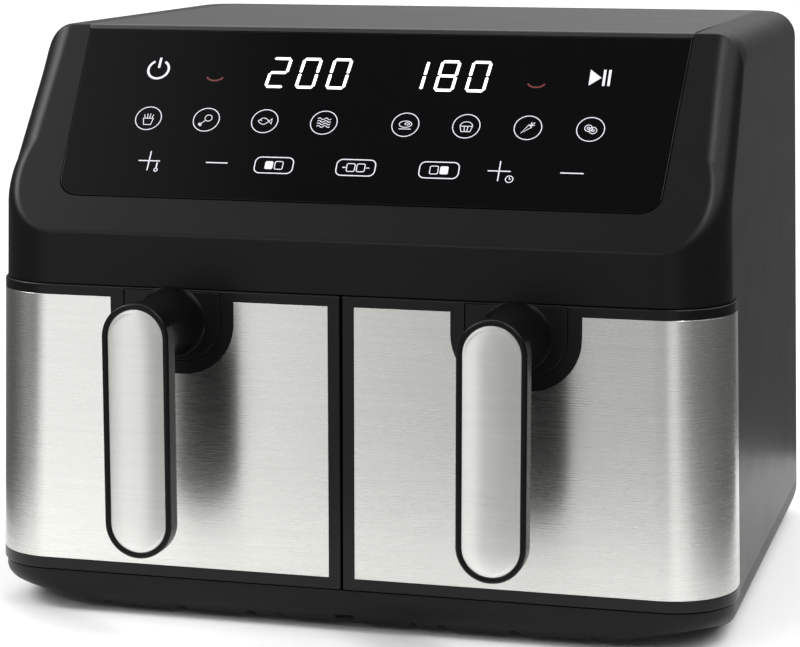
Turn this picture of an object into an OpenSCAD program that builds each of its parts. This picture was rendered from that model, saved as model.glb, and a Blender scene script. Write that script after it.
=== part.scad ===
// Twin-drawer hot air fryer, millimetres.
// X runs across the front to the viewer's right, the drawers face -Y, Z is up.
// The origin is on the ground, in the middle of the overall width and depth.

/* [Body] */
// Width of the housing along its bottom edge
body_w = 388; // [350:1:470]
// Depth of the housing, front face to back
body_d = 332; // [300:1:400]
// Overall height, feet included
body_h = 300; // [285:1:370]
// Lean of each side wall, in degrees
draft = 1.7; // [0.5:0.1:2.5]
// Radius of the upright front corners
corner_r = 34; // [24:1:42]
// Radius of the upright back corners
rear_r = 30; // [15:1:40]
// Radius along the top of the side walls
top_r = 14; // [8:1:18]
// Radius along the top of the back
rear_top_r = 22; // [10:1:30]
// Thickness of the moulded walls
wall = 3; // [2.4:0.1:3.6]
// Height of the fascia between the drawers and the panel's crease
fascia_h = 27; // [20:0.5:36]
// How far the panel's top edge lies behind the front face
slope_back = 79; // [60:1:95]

/* [Base] */
// Height of the base's top face above the ground
base_h = 22; // [20:1:28]
// Ground clearance given by the feet
foot_h = 3; // [2:0.5:5]
// Radius of a foot
foot_r = 11; // [8:0.5:14]
// Distance from the body's edges to a foot's centre
foot_inset = 52; // [45:1:70]
// How far the base's bottom edge is drawn in
undercut = 7; // [4:0.5:9]
// Width of a notch in the base's bottom edge
notch_w = 7; // [5:0.5:9]
// Height of a notch
notch_h = 3; // [2:0.5:4]

/* [Top cover and panel] */
// Width of the housing's strip beside the top cover
strip_w = 23; // [19:0.5:34]
// Thickness of the top cover
cover_t = 3; // [2:0.1:4]
// Gap round the top cover, back cover and glass
seam = 0.3; // [0.2:0.05:0.5]
// Distance from the body's side to the glass, along its bottom edge
glass_side_low = 32.7; // [28:0.1:45]
// Distance from the body's side to the glass, along its top edge
glass_side_top = 25.2; // [23:0.1:40]
// Distance up the slope from crease to glass
glass_low = 22; // [16:0.5:35]
// Radius of the glass's lower corners
glass_r = 11; // [5:0.5:20]
// Thickness of the glass
glass_t = 2.2; // [1.8:0.1:2.6]
// Depth of the cover's lip above the glass
cover_lip = 3.4; // [2.5:0.1:5]
// Width of the display windows
window_w = 58; // [50:1:66]
// Height of the display windows
window_h = 26; // [22:1:32]
// Distance from the middle to a display's centre
window_x = 38.5; // [34:0.5:60]

/* [Drawers] */
// Height of a drawer front
drawer_h = 150; // [130:1:155]
// Depth of a drawer front round the corner
drawer_d = 44.5; // [42:0.5:60]
// Gap between the two drawer fronts
drawer_gap = 1.2; // [0.8:0.1:2]
// Clearance above, below and behind a drawer front
drawer_clear = 0.5; // [0.4:0.1:1]
// How far a drawer front stands proud of the housing
proud = 1.2; // [0.5:0.1:2]
// Thickness of the steel skin
skin_t = 0.8; // [0.6:0.1:1.2]
// Black border above the skin
border_top = 5.2; // [3.5:0.1:8]
// Black border below and beside the skin
border = 6; // [4:0.1:8]
// Width of the cut-out in the skin behind the handle
cutout_w = 65.6; // [60:0.2:76]
// Depth of that cut-out
cutout_h = 38; // [34:0.5:46]
// Radius of the cut-out's lower corners
cutout_r = 27; // [15:0.5:29]
// Width of the handle plate in the cut-out
plate_w = 51; // [46:0.2:56]

/* [Handles] */
// Distance from the middle of the body to a handle
handle_x = 88.7; // [80:0.1:105]
// Width of a handle
handle_w = 33.4; // [30:0.2:38]
// Length of a handle
handle_l = 127; // [110:1:135]
// Thickness of a handle
handle_t = 11; // [9:0.5:14]
// How far a handle's top stands above its drawer front
handle_rise = 0.6; // [-4:0.1:3]
// Distance from the drawer front to the handle's face
handle_reach = 52.8; // [46:0.2:64]
// Rim of the handle round its inlay
handle_rim = 2.7; // [2:0.1:4]
// Thickness of the inlay
inlay_t = 1.2; // [0.8:0.1:2]
// Radius of the boss at the drawer
boss_r = 17.2; // [15:0.2:20]
// Radius of the boss at the handle
boss_tip_r = 12.5; // [9:0.5:14]
// Distance from the drawer front's top edge down to the boss's middle
boss_drop = 16.5; // [15.5:0.1:19]

/* [Tubs] */
// Distance from the drawer front's top edge down to the tub's rim
tub_drop = 24.5; // [16:0.5:40]
// Thickness of the tub
tub_t = 1.2; // [0.8:0.1:1.6]
// Radius of the tub's upright corners
tub_r = 24; // [15:1:35]
// Width of the rolled rim
lip_w = 2.5; // [1.5:0.1:4]
// Clearance from rim to cavity wall
lip_clear = 1.8; // [1:0.1:3]
// Height of the runners under a tub
runner_h = 2.7; // [2:0.1:4]
// Running clearance of tub and plate
slide_clear = 0.3; // [0.2:0.05:0.5]
// Height of the crisper plate above the tub's floor
crisper_z = 12; // [8:1:20]
// Thickness of the crisper plate
crisper_t = 1.2; // [0.8:0.1:2]
// Diameter of the crisper plate's holes
crisper_hole = 6; // [4:0.2:8]
// Spacing of those holes
crisper_pitch = 13; // [12:0.5:18]

/* [Ovens] */
// Thickness of the oven sheet
oven_t = 0.6; // [0.5:0.1:1.2]
// Air gap between oven and neighbours
air_gap = 4; // [3:0.5:6]
// Thickness of the centre divider
divider_t = 6; // [4:0.5:8]
// Height of the heater space above the drawers
heater_h = 33.5; // [33:0.5:40]
// Radius of the outer heater ring
heater_r = 66; // [55:1:66]
// Radius of the inner heater ring
heater_in_r = 50; // [35:1:50]
// Radius of the heater tube
heater_tube_r = 3.2; // [2.5:0.1:3.6]
// Radius of the heater guard
guard_r = 80; // [74:1:80]
// Bar size of the heater guard
guard_bar = 2.4; // [2:0.1:3]

/* [Fans and motors] */
// Radius of the hot air fan
fan_r = 58; // [40:1:58]
// Height of the hot air fan's blades
fan_h = 11; // [8:0.5:12]
// Radius of the cooling fan
cool_r = 38; // [25:1:40]
// Height of the cooling fan's blades
cool_h = 10; // [8:0.5:12]
// Blades on each fan
blades = 8; // [5:1:10]
// Radius of the motor shaft
shaft_r = 4; // [3:0.5:5]
// Running clearance round shaft and plungers
run_clear = 0.05; // [0.02:0.01:0.09]
// Radius of the motor
motor_r = 28; // [22:1:34]
// Height of the motor
motor_h = 30; // [24:1:32]

/* [Electrics and back] */
// Distance from the body's side to the back cover
back_side = 36; // [34:1:50]
// Travel of a drawer switch's plunger
plunger_travel = 3; // [2:0.5:4]
// Radius of a plunger
plunger_r = 1.6; // [1.2:0.1:2]
// Radius of the cord's bore in its gland
cord_r = 3.6; // [3:0.1:4.5]

/* [Hidden] */
$fn = 48;

// Overall places
half_w = body_w / 2;
cover_w = 2 * (side_x(body_h) - strip_w);
front_y = -(body_d - handle_reach - proud) / 2;
rear_y = front_y + body_d;
drawer_y = front_y - proud;
trim = 0.05;   // the flat top trims the side rounding this far below its crown
big = 500;     // longer than the body in every direction
bond = 0.02;   // adhesive film between bonded parts

// Base
foot_x = half_w - foot_inset;
foot_front_y = front_y + foot_inset;
foot_back_y = rear_y - foot_inset;
stem_r = 4;
notch_x = [35.6, 50.5, 88, 128.3, 143];
base_skirt = 2.5;
rim_h = 7.5;

// Drawer fronts
drawer_z = base_h + drawer_clear;
drawer_top = drawer_z + drawer_h;
drawer_back = drawer_y + drawer_d;
front_wall = 3;
panel_t = 3;
panel_y = drawer_back - panel_t - 1;
boss_z = drawer_top - boss_drop;
handle_z = drawer_top + handle_rise - handle_l / 2;
handle_y = drawer_y - handle_reach;
boss_len = handle_reach - handle_t;

// Sloping panel
crease_z = drawer_top + fascia_h;
slope_a = atan2(body_h - crease_z, slope_back);
slope_len = norm([slope_back, body_h - crease_z]);
glass_low_w = 2 * (side_x(crease_z) - glass_side_low);
glass_top_w = 2 * (side_x(body_h) - glass_side_top);

// Oven bays; x is for the right-hand bay, the left one is its mirror image
oven_top = drawer_top + heater_h;
bay_in = divider_t / 2 + air_gap;
bay_out = side_x(oven_top) - wall - air_gap;
bay_c = (bay_in + bay_out) / 2;
oven_w = bay_out - bay_in;
oven_y = drawer_back + 1.5;
duct_d = 29;
oven_back = rear_y - wall - duct_d;
oven_mid = (oven_y + oven_back) / 2;
oven_floor = base_h + oven_t;

// Tubs
tub_w = oven_w - 2 * (oven_t + lip_clear + lip_w);
tub_y = panel_y + panel_t;
tub_back = oven_back - oven_t - 6.5;
tub_z = oven_floor + runner_h + slide_clear;
tub_h = drawer_top - tub_drop - tub_z;
tub_screw_x = 40;
tub_screw_z = [tub_z + 30, tub_z + 90];
crisper_z0 = tub_z + tub_t + crisper_z;
crisper_gap = 2.5;
crisper_x0 = bay_c - tub_w / 2 + tub_t + crisper_gap;
crisper_x1 = bay_c + tub_w / 2 - tub_t - crisper_gap;
crisper_y0 = tub_y + tub_t + crisper_gap;
crisper_y1 = tub_back - tub_t - crisper_gap;
crisper_edge = 17;
holes_x = floor((crisper_x1 - crisper_x0 - 2 * crisper_edge) / crisper_pitch / 2);
holes_y = floor((crisper_y1 - crisper_y0 - 2 * crisper_edge) / crisper_pitch / 2);
bumper = [16, 6.5, 4];
runner_w = 8;
runner_x = 55;

// Heater, fan and motor stack
guard_z = drawer_top - 5;
heater_z = guard_z + guard_bar + 8;
fan_z = heater_z + heater_tube_r + 4.5;
terminal_a = 12;
shield_t = 1;
shield_z = oven_top + 1.5;
bracket_t = 2.5;
bracket_z = shield_z + shield_t;
motor_z = bracket_z + bracket_t;
cool_z = motor_z + motor_h + 4;
shaft_top = cool_z + cool_h + 2;
shaft_hole_r = shaft_r + 3;

// Control panel, in the slope's own frame: v runs up the slope from the crease
glass_top = slope_len - cover_lip;
ledge_w = 6;
ledge_t = 3;
carrier_t = 4;
board_gap = 2;
board_t = 1.6;
board_w = 286;
carrier_z = -glass_t - carrier_t - bond;
board_z = carrier_z - board_gap - board_t;
window_v = (glass_low + glass_top) / 2 + 24;

// Back cover and switches
back_w = 2 * (half_w - back_side);
back_low = base_h + 12;
back_top = body_h - rear_top_r - 10;
back_ledge = 9;
back_screw_x = back_w / 2 - 5;
back_screw_z = [back_low + 5, back_top - 5];
slot_h = 3.2;
cool_slots = 9;
gland_z = back_low + 22;
gland_r = 7;
gland_lip = 9.5;
screw_r = 1.7;
screw_head_r = 3.4;
screw_clear = 0.05;
exhaust_w = 70;
exhaust_h = 24;
exhaust_z = drawer_top - 4;
sensor_x = -60;
sensor_z = oven_top - 14;
sensor_r = 2.4;
switch_x = 60;
switch_z = tub_z + 60;
switch_d = plunger_travel + 9;

// Outside of a side wall at height z, before rounding
function side_x(z) = half_w - tan(draft) * (z - base_h);

// Points of an arc in whole steps
function arc(cx, cy, r, a0, a1, n = 8) =
  [for (i = [0:n]) let (a = a0 + (a1 - a0) * i / n) [cx + r * cos(a), cy + r * sin(a)]];

// Rectangle with four rounded corners
function rounded(x0, y0, x1, y1, r, n = 8) = concat(
  arc(x1 - r, y0 + r, r, -90, 0, n), arc(x1 - r, y1 - r, r, 0, 90, n),
  arc(x0 + r, y1 - r, r, 90, 180, n), arc(x0 + r, y0 + r, r, 180, 270, n));

// Upright slot with round ends
function pill(x, z, w, l) = concat(
  arc(x, z + (l - w) / 2, w / 2, 0, 180, 16), arc(x, z - (l - w) / 2, w / 2, 180, 360, 16));

// Place of the slope, moved outwards by g, at height z
function slope_y(z, g) = front_y - g * sin(slope_a) + (z - crease_z - g * cos(slope_a)) / tan(slope_a);

module box(a, b) translate(a) cube(b - a);

module on_side(s) mirror([s < 0 ? 1 : 0, 0, 0]) children();

// Extrude a drawing of X and Z along Y, from y0 to y1
module along_y(y0, y1) translate([0, y1, 0]) rotate([90, 0, 0]) linear_extrude(y1 - y0) children();

// Slope frame: X across, Y up the slope from the crease, Z out of the panel
module on_slope() translate([0, front_y, crease_z]) rotate([slope_a, 0, 0]) children();

// One half of the body: upright corners and top rounding, leaning inwards by the draft.
// g grows the shape outwards.
module leaning_half(g) {
  cx = half_w + g - top_r - g;
  cz = base_h + (body_h + trim - top_r - base_h - (cx - half_w) * sin(draft)) / cos(draft);
  crown = arc(cx, cz, top_r + g, 0, 90 + draft, 10);
  translate([half_w, 0, base_h]) rotate([0, -draft, 0]) translate([-half_w, 0, -base_h])
  intersection() {
    translate([0, 0, -20]) linear_extrude(big) polygon(concat(
      [[-big / 2, rear_y + g], [-big / 2, front_y - g]],
      arc(half_w - corner_r, front_y + corner_r, corner_r + g, -90, 0),
      arc(half_w - rear_r, rear_y - rear_r, rear_r + g, 0, 90)));
    along_y(-big / 2, big / 2) polygon(concat(
      [[-big / 2, -20], [half_w + g, -20]], crown,
      [[cx, big * 0.9], [-big / 2, big * 0.9]]));
  }
}

// The body's outer shape grown by g, between two heights
module body_solid(g, z0, z1) {
  intersection() {
    leaning_half(g);
    mirror([1, 0, 0]) leaning_half(g);
    translate([-big / 2, 0, 0]) rotate([90, 0, 90]) linear_extrude(big) polygon(concat(
      [[front_y - g, -10], [rear_y + g, -10]],
      arc(rear_y - rear_top_r, body_h - rear_top_r, rear_top_r + g, 0, 90),
      [[slope_y(body_h + g, g), body_h + g],
       [front_y - g, crease_z + g * (1 - sin(slope_a)) / cos(slope_a)]]));
    box([-big / 2, -big / 2, z0], [big / 2, big / 2, z1]);
  }
}

// Outline of the glass in the slope frame, grown by g
function glass_outline(g, cut = 0) =
  let (x0 = glass_low_w / 2 + g, x1 = glass_top_w / 2 + g, r = glass_r + g)
  concat(arc(x0 - r, glass_low - g + r, r, -90, 0),
    [[x1, glass_top + g - cut], [-x1, glass_top + g - cut]],
    arc(r - x0, glass_low - g + r, r, 180, 270));

// Outline of the cut-out behind a handle, in X and Z, grown by g
function cutout_outline(g) =
  let (x0 = handle_x - cutout_w / 2 - g, x1 = handle_x + cutout_w / 2 + g, r = cutout_r + g,
       z0 = drawer_top - border_top - cutout_h - g)
  concat(arc(x1 - r, z0 + r, r, -90, 0), [[x1, drawer_top + 10], [x0, drawer_top + 10]],
    arc(x0 + r, z0 + r, r, 180, 270));

// ---------------------------------------------------------------- housing

module housing() color([0.10, 0.10, 0.11]) difference() {
  union() {
    difference() {
      body_solid(0, base_h, body_h);
      body_solid(-wall, 0, body_h);
    }
    // ledge that carries the glass, inside the slope
    intersection() {
      body_solid(-wall / 2, base_h, body_h);
      on_slope() translate([0, 0, -glass_t - ledge_t]) linear_extrude(ledge_t + 0.5)
        polygon(glass_outline(ledge_w, ledge_w + 4));
    }
    // ledge under the top cover
    box([-cover_w / 2 - 4, front_y + slope_back + 8, body_h - cover_t - 3],
        [cover_w / 2 + 4, rear_y - rear_top_r - 2, body_h - cover_t + 0.5]);
    // ledge behind the back cover, with posts for its screws
    difference() {
      box([-back_w / 2 - 2, rear_y - 2 * wall, back_low - 3],
          [back_w / 2 + 2, rear_y - wall + 0.5, back_top + 3]);
      box([-back_w / 2 + back_ledge, 0, back_low + back_ledge],
          [back_w / 2 - back_ledge, big, back_top - back_ledge]);
    }
    for (x = [-1, 1], z = back_screw_z)
      translate([x * back_screw_x, rear_y - 2 * wall + 0.5, z]) rotate([90, 0, 0]) cylinder(r = 4.5, h = 7);
    // upright post between the drawers
    box([-divider_t / 2, drawer_back + drawer_clear, base_h],
        [divider_t / 2, drawer_back + 5, drawer_top + 4]);
    // cross beam above the drawers
    box([-side_x(drawer_top) + wall / 2, front_y + 1, drawer_top + drawer_clear],
        [side_x(drawer_top) - wall / 2, drawer_back + 1.2, drawer_top + drawer_clear + wall]);
  }
  // front opening for the drawers
  box([-big / 2, -big / 2, -1], [big / 2, drawer_back + drawer_clear, drawer_top + drawer_clear]);
  // glass seat, and the window behind it
  on_slope() translate([0, 0, -glass_t - bond]) linear_extrude(20) polygon(glass_outline(seam));
  on_slope() translate([0, 0, -30]) linear_extrude(40) polygon(glass_outline(-ledge_w, ledge_w));
  // top and back openings, and the window inside the top cover's ledge
  box([-cover_w / 2 - seam, slope_y(body_h - cover_t, 0) - 1, body_h - cover_t],
      [cover_w / 2 + seam, rear_y - rear_top_r + seam, body_h + 5]);
  box([-cover_w / 2 + 6, front_y + slope_back + 16, body_h - cover_t - wall - 1],
      [cover_w / 2 - 6, rear_y - rear_top_r - 12, body_h]);
  box([-back_w / 2 - seam, rear_y - wall, back_low - seam],
      [back_w / 2 + seam, rear_y + 5, back_top + seam]);
  for (x = [-1, 1], z = back_screw_z)
    translate([x * back_screw_x, rear_y, z]) rotate([90, 0, 0]) cylinder(r = screw_r + screw_clear, h = 11);
  // keep the corners of the cross beam inside the rounded front
  difference() {
    box([-big / 2, -big / 2, drawer_top], [big / 2, front_y + corner_r, drawer_top + 8]);
    body_solid(0, drawer_top - 1, drawer_top + 9);
  }
}

module top_cover() color([0.30, 0.30, 0.31]) {
  intersection() {
    body_solid(0, body_h - cover_t, body_h + 1);
    difference() {
      box([-cover_w / 2, front_y, body_h - cover_t], [cover_w / 2, rear_y - rear_top_r, body_h + 1]);
      on_slope() translate([0, 0, -20]) linear_extrude(40) polygon(glass_outline(seam));
    }
  }
  // locating rim inside the ledge
  difference() {
    box([-cover_w / 2 + 7, front_y + slope_back + 17, body_h - cover_t - 3],
        [cover_w / 2 - 7, rear_y - rear_top_r - 13, body_h - cover_t]);
    box([-cover_w / 2 + 9.5, front_y + slope_back + 19.5, 0],
        [cover_w / 2 - 9.5, rear_y - rear_top_r - 15.5, body_h - cover_t + 1]);
  }
}

// Vent slot of the back cover, w wide and h high
module vent(w, h) along_y(rear_y - 2 * wall, rear_y + 1)
  polygon(rounded(-w / 2, -h / 2, w / 2, h / 2, 1.5, 3));

module rear_cover() color([0.12, 0.12, 0.12]) difference() {
  box([-back_w / 2, rear_y - wall, back_low], [back_w / 2, rear_y, back_top]);
  for (s = [-1, 1], i = [-1:1])
    translate([s * bay_c, 0, exhaust_z + i * 7.5]) vent(exhaust_w - 6, slot_h);
  for (s = [-1, 1], i = [0:cool_slots - 1])
    translate([s * (30 + i * 9), 0, back_top - 30]) vent(slot_h, 28);
  for (x = [-1, 1], z = back_screw_z)
    translate([x * back_screw_x, rear_y + 1, z]) rotate([90, 0, 0]) {
      cylinder(r = screw_r + 0.2, h = 8);
      cylinder(r = screw_head_r + 0.3, h = 2.6);
    }
  translate([0, rear_y + 1, gland_z]) rotate([90, 0, 0]) {
    cylinder(r = gland_r + 0.1, h = 8);
    cylinder(r = gland_lip + 0.1, h = 2);
  }
}

module cover_screws() color([0.20, 0.20, 0.21])
  for (x = [-1, 1], z = back_screw_z) translate([x * back_screw_x, rear_y, z]) rotate([90, 0, 0])
    difference() {
      union() {
        translate([0, 0, 0.1]) cylinder(r = screw_head_r, h = 1.5);
        cylinder(r = screw_r, h = 10);
      }
      translate([0, 0, -1]) cylinder(r = 1.5, h = 2, $fn = 6);
    }

module cord_gland() color([0.07, 0.07, 0.07])
  translate([0, rear_y, gland_z]) rotate([90, 0, 0]) difference() {
    union() {
      cylinder(r = gland_r, h = 10);
      cylinder(r = gland_lip, h = 1);
      translate([0, 0, wall]) cylinder(r = gland_lip, h = 3);
    }
    translate([0, 0, -1]) cylinder(r = cord_r, h = 14);
  }

// ---------------------------------------------------------------- base

// Base outline drawn in by g, with its own corner radius
function base_outline(g, r) = rounded(-half_w + g, front_y + g, half_w - g, rear_y - g, r);

module base_form(g) hull() {
  translate([0, 0, base_h - 3]) linear_extrude(3) polygon(base_outline(g, corner_r - g));
  translate([0, 0, base_h * 0.55]) linear_extrude(1) polygon(base_outline(g + undercut * 0.22, corner_r - g));
  translate([0, 0, foot_h]) linear_extrude(1) polygon(base_outline(g + undercut, corner_r + 6 - g));
}

module base() color([0.08, 0.08, 0.08]) difference() {
  union() {
    difference() {
      base_form(0);
      translate([0, 0, -3]) base_form(base_skirt);
    }
    for (x = [-1, 1], y = [foot_front_y, foot_back_y])
      translate([x * foot_x, y, foot_h + 1]) cylinder(r = foot_r + 2, h = base_h - foot_h - 3);
    // rim that locates the housing's side and back walls
    difference() {
      body_solid(-wall - seam, base_h - 1, base_h + rim_h);
      body_solid(-wall - seam - 2, 0, base_h + rim_h + 1);
      box([-big / 2, -big / 2, 0], [big / 2, oven_y + 6, big]);
    }
  }
  for (x = [-1, 1], y = [foot_front_y, foot_back_y]) translate([x * foot_x, y, 0]) {
    cylinder(r = foot_r + 0.3, h = foot_h + 2);
    cylinder(r = stem_r, h = base_h - 5);
  }
  // notches along the front and back bottom edges
  for (s = [-1, 1], x = notch_x) translate([s * x, 0, foot_h]) {
    along_y(front_y - 1, front_y + 30) circle(r = notch_w / 2);
    along_y(rear_y - 30, rear_y + 1) circle(r = notch_w / 2);
  }
  // drain slot in the middle of the front edge
  box([-5, front_y - 1, foot_h + notch_h], [5, front_y + 20, foot_h + notch_h + 2.5]);
}

module rubber_feet() color([0.05, 0.05, 0.05])
  for (x = [-1, 1], y = [foot_front_y, foot_back_y]) translate([x * foot_x, y, 0]) {
    cylinder(r = foot_r, h = foot_h + 2);
    cylinder(r = stem_r - 0.1, h = base_h - 6);
  }

// ---------------------------------------------------------------- control panel

module control_glass() color([0.02, 0.02, 0.025])
  on_slope() translate([0, 0, -glass_t]) linear_extrude(glass_t) polygon(glass_outline(0));

module display_carrier() color([0.85, 0.85, 0.83]) on_slope() difference() {
  union() {
    translate([0, 0, carrier_z]) linear_extrude(carrier_t)
      polygon(glass_outline(-ledge_w - 0.5, ledge_w + 4));
    for (x = [-board_w / 2 + 10, 0, board_w / 2 - 10], v = [glass_low + 14, glass_top - 22])
      translate([x, v, carrier_z - board_gap]) cylinder(r = 3, h = board_gap + 0.5);
  }
  for (s = [-1, 1])
    translate([s * window_x, window_v, carrier_z - 1]) linear_extrude(carrier_t + 2)
      square([window_w, window_h], center = true);
}

module displays() color([0.12, 0.12, 0.12]) on_slope() for (s = [-1, 1])
  translate([s * window_x, window_v, board_z + board_t]) linear_extrude(-glass_t - 0.2 - board_z - board_t)
    square([window_w - 1, window_h - 1], center = true);

module control_board() color([0.05, 0.30, 0.15]) on_slope() {
  translate([0, 0, board_z]) linear_extrude(board_t)
    polygon(rounded(-board_w / 2, glass_low + 8, board_w / 2, glass_top - 16, 3));
  for (x = [-90, -30, 40]) translate([x, glass_low + 22, board_z - 5]) linear_extrude(5) square([16, 12]);
}

module power_board() {
  y0 = oven_back - 92;
  z0 = shield_z + shield_t + 10;
  color([0.10, 0.35, 0.16]) {
    box([-42, y0, z0], [42, oven_back - 4, z0 + board_t]);
    for (x = [-36, 36], y = [y0 + 6, oven_back - 10]) translate([x, y, bracket_z]) cylinder(r = 3, h = 10);
  }
  color([0.15, 0.15, 0.16]) {
    box([-36, y0 + 14, z0 + board_t], [-6, y0 + 40, z0 + board_t + 22]);
    for (i = [0:2]) box([4 + i * 12, y0 + 46, z0 + board_t], [13 + i * 12, y0 + 64, z0 + board_t + 15]);
    for (i = [0:1]) translate([12 + i * 16, y0 + 24, z0 + board_t]) cylinder(r = 6, h = 20);
  }
}

// ---------------------------------------------------------------- ovens

// The two places where the heater's ends pass upwards, about the bay's axis
module terminals() for (a = [-terminal_a, terminal_a])
  rotate([0, 0, 90 + a]) translate([heater_r, 0, 0]) children();

module heat_shield() color([0.72, 0.73, 0.74]) difference() {
  box([-bay_out, oven_y + 4, shield_z], [bay_out, oven_back, shield_z + shield_t]);
  for (s = [-1, 1]) translate([s * bay_c, oven_mid, 0]) {
    cylinder(r = shaft_hole_r, h = big);
    terminals() cylinder(r = 5, h = big);
  }
}

// Folded sheet between the ovens, with a flange along its bottom and its top
module centre_divider() color([0.70, 0.71, 0.72]) {
  y0 = drawer_back + 5.2;
  box([-0.6, y0, base_h], [0.6, oven_back, shield_z]);
  box([-divider_t / 2, y0, base_h], [divider_t / 2, oven_back, base_h + 1.2]);
  box([-divider_t / 2, y0, shield_z - 1.2], [divider_t / 2, oven_back, shield_z]);
}

module oven(s) color([0.62, 0.63, 0.64]) on_side(s) difference() {
  box([bay_in, oven_y, base_h], [bay_out, oven_back, oven_top]);
  box([bay_in + oven_t, oven_y + oven_t, oven_floor],
      [bay_out - oven_t, oven_back - oven_t, oven_top - oven_t]);
  box([bay_in + oven_t, oven_y - 1, oven_floor], [bay_out - oven_t, oven_y + 5, drawer_top]);
  translate([bay_c, oven_mid, oven_top - 5]) {
    cylinder(r = shaft_hole_r, h = 10);
    terminals() cylinder(r = 5, h = 10);
  }
  box([bay_c - exhaust_w / 2, oven_back - 5, exhaust_z - exhaust_h / 2],
      [bay_c + exhaust_w / 2, oven_back + 1, exhaust_z + exhaust_h / 2]);
  translate([bay_c + switch_x, oven_back + 1, switch_z]) rotate([90, 0, 0])
    cylinder(r = plunger_r + 1, h = 5);
  translate([bay_c + sensor_x, oven_back + 1, sensor_z]) rotate([90, 0, 0])
    cylinder(r = sensor_r + 0.4, h = 5);
}

module heater(s) color([0.35, 0.35, 0.36]) on_side(s) translate([bay_c, oven_mid, heater_z]) {
  for (r = [heater_in_r, heater_r]) rotate_extrude() translate([r, 0]) circle(r = heater_tube_r, $fn = 24);
  rotate([90, 0, 0]) translate([0, 0, heater_in_r])
    cylinder(r = heater_tube_r, h = heater_r - heater_in_r, $fn = 24);
  terminals() cylinder(r = heater_tube_r - 0.2, h = shield_z + 8 - heater_z, $fn = 24);
}

module heater_guard(s) color([0.75, 0.75, 0.76]) on_side(s) translate([bay_c, oven_mid, guard_z]) {
  for (r = [guard_r / 4:guard_r / 4:guard_r])
    rotate_extrude() translate([r - guard_bar, 0]) square([guard_bar, guard_bar]);
  for (a = [0:45:135]) rotate([0, 0, a])
    box([-guard_r + 1, -guard_bar / 2, 0], [guard_r - 1, guard_bar / 2, guard_bar]);
  for (a = [45:90:315]) rotate([0, 0, a])
    box([guard_r - guard_bar, -2, 0], [guard_r, 2, oven_top - oven_t - guard_z]);
}

module fan_wheel(r, h, hub_r, disc_z) {
  difference() {
    union() {
      cylinder(r = hub_r, h = h);
      translate([0, 0, disc_z]) cylinder(r = r, h = 1);
      for (i = [0:blades - 1]) rotate([0, 0, i * 360 / blades])
        box([hub_r - 1, -0.75, 0], [r - 1, 0.75, h]);
    }
    translate([0, 0, -1]) cylinder(r = shaft_r, h = h + 2);
  }
}

module hot_air_fan(s) on_side(s) translate([bay_c, oven_mid, 0]) {
  color([0.70, 0.71, 0.72]) translate([0, 0, fan_z]) fan_wheel(fan_r, fan_h, 11, fan_h - 1);
  color([0.55, 0.56, 0.57]) translate([0, 0, fan_z - 2])
    cylinder(r = shaft_r, h = shaft_top - fan_z + 2);
}

module cooling_fan(s) color([0.15, 0.15, 0.16]) on_side(s)
  translate([bay_c, oven_mid, cool_z]) fan_wheel(cool_r, cool_h, 9, 0);

module motor(s) color([0.55, 0.56, 0.58]) on_side(s)
  translate([bay_c, oven_mid, motor_z]) difference() {
    union() {
      cylinder(r = motor_r, h = motor_h);
      translate([0, 0, motor_h - 0.5]) cylinder(r = 9, h = 2);
    }
    translate([0, 0, -1]) cylinder(r = shaft_r + run_clear, h = motor_h + 5);
  }

module motor_bracket(s) color([0.66, 0.67, 0.68]) on_side(s)
  translate([bay_c, oven_mid, bracket_z]) difference() {
    union() {
      linear_extrude(bracket_t) polygon(rounded(-46, -17, 46, 17, 6));
      for (x = [-1, 1]) translate([x * 38, 0, bracket_t - 0.5]) cylinder(r = 3.5, h = 3);
    }
    translate([0, 0, -1]) cylinder(r = shaft_hole_r, h = 10);
  }

module sensor(s) color([0.78, 0.78, 0.79]) on_side(s)
  translate([bay_c + sensor_x, oven_back, sensor_z]) rotate([90, 0, 0]) {
    translate([0, 0, -8]) cylinder(r = sensor_r, h = 20);
    translate([0, 0, -1.5]) cylinder(r = 6, h = 1.5);
  }

module switch(s) color([0.10, 0.10, 0.11]) on_side(s) difference() {
  box([bay_c + switch_x - 10, oven_back, switch_z - 6],
      [bay_c + switch_x + 10, oven_back + switch_d, switch_z + 6]);
  translate([bay_c + switch_x, oven_back + switch_d - 1, switch_z]) rotate([90, 0, 0])
    cylinder(r = plunger_r + run_clear, h = 30);
}

module plunger(s) color([0.80, 0.20, 0.15]) on_side(s)
  translate([bay_c + switch_x, oven_back + switch_d - 1.5, switch_z]) rotate([90, 0, 0])
    cylinder(r = plunger_r, h = oven_back + switch_d - 1.5 - tub_back - slide_clear);

module exhaust_duct(s) color([0.68, 0.69, 0.70]) on_side(s) difference() {
  box([bay_c - exhaust_w / 2 - 2, oven_back, exhaust_z - exhaust_h / 2 - 2],
      [bay_c + exhaust_w / 2 + 2, rear_y - wall, exhaust_z + exhaust_h / 2 + 2]);
  box([bay_c - exhaust_w / 2, oven_back - 1, exhaust_z - exhaust_h / 2],
      [bay_c + exhaust_w / 2, rear_y, exhaust_z + exhaust_h / 2]);
}

module runners(s) color([0.80, 0.80, 0.78]) on_side(s) for (x = [-runner_x, runner_x])
  box([bay_c + x - runner_w / 2, oven_y + 2, oven_floor],
      [bay_c + x + runner_w / 2, oven_back - oven_t - 2, oven_floor + runner_h]);

// ---------------------------------------------------------------- drawers

// The places of a drawer's four screws, pointing forwards from inside the tub
module tub_screws() for (x = [-1, 1], z = tub_screw_z)
  translate([bay_c + x * tub_screw_x, tub_y + tub_t, z]) rotate([90, 0, 0]) children();

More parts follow.
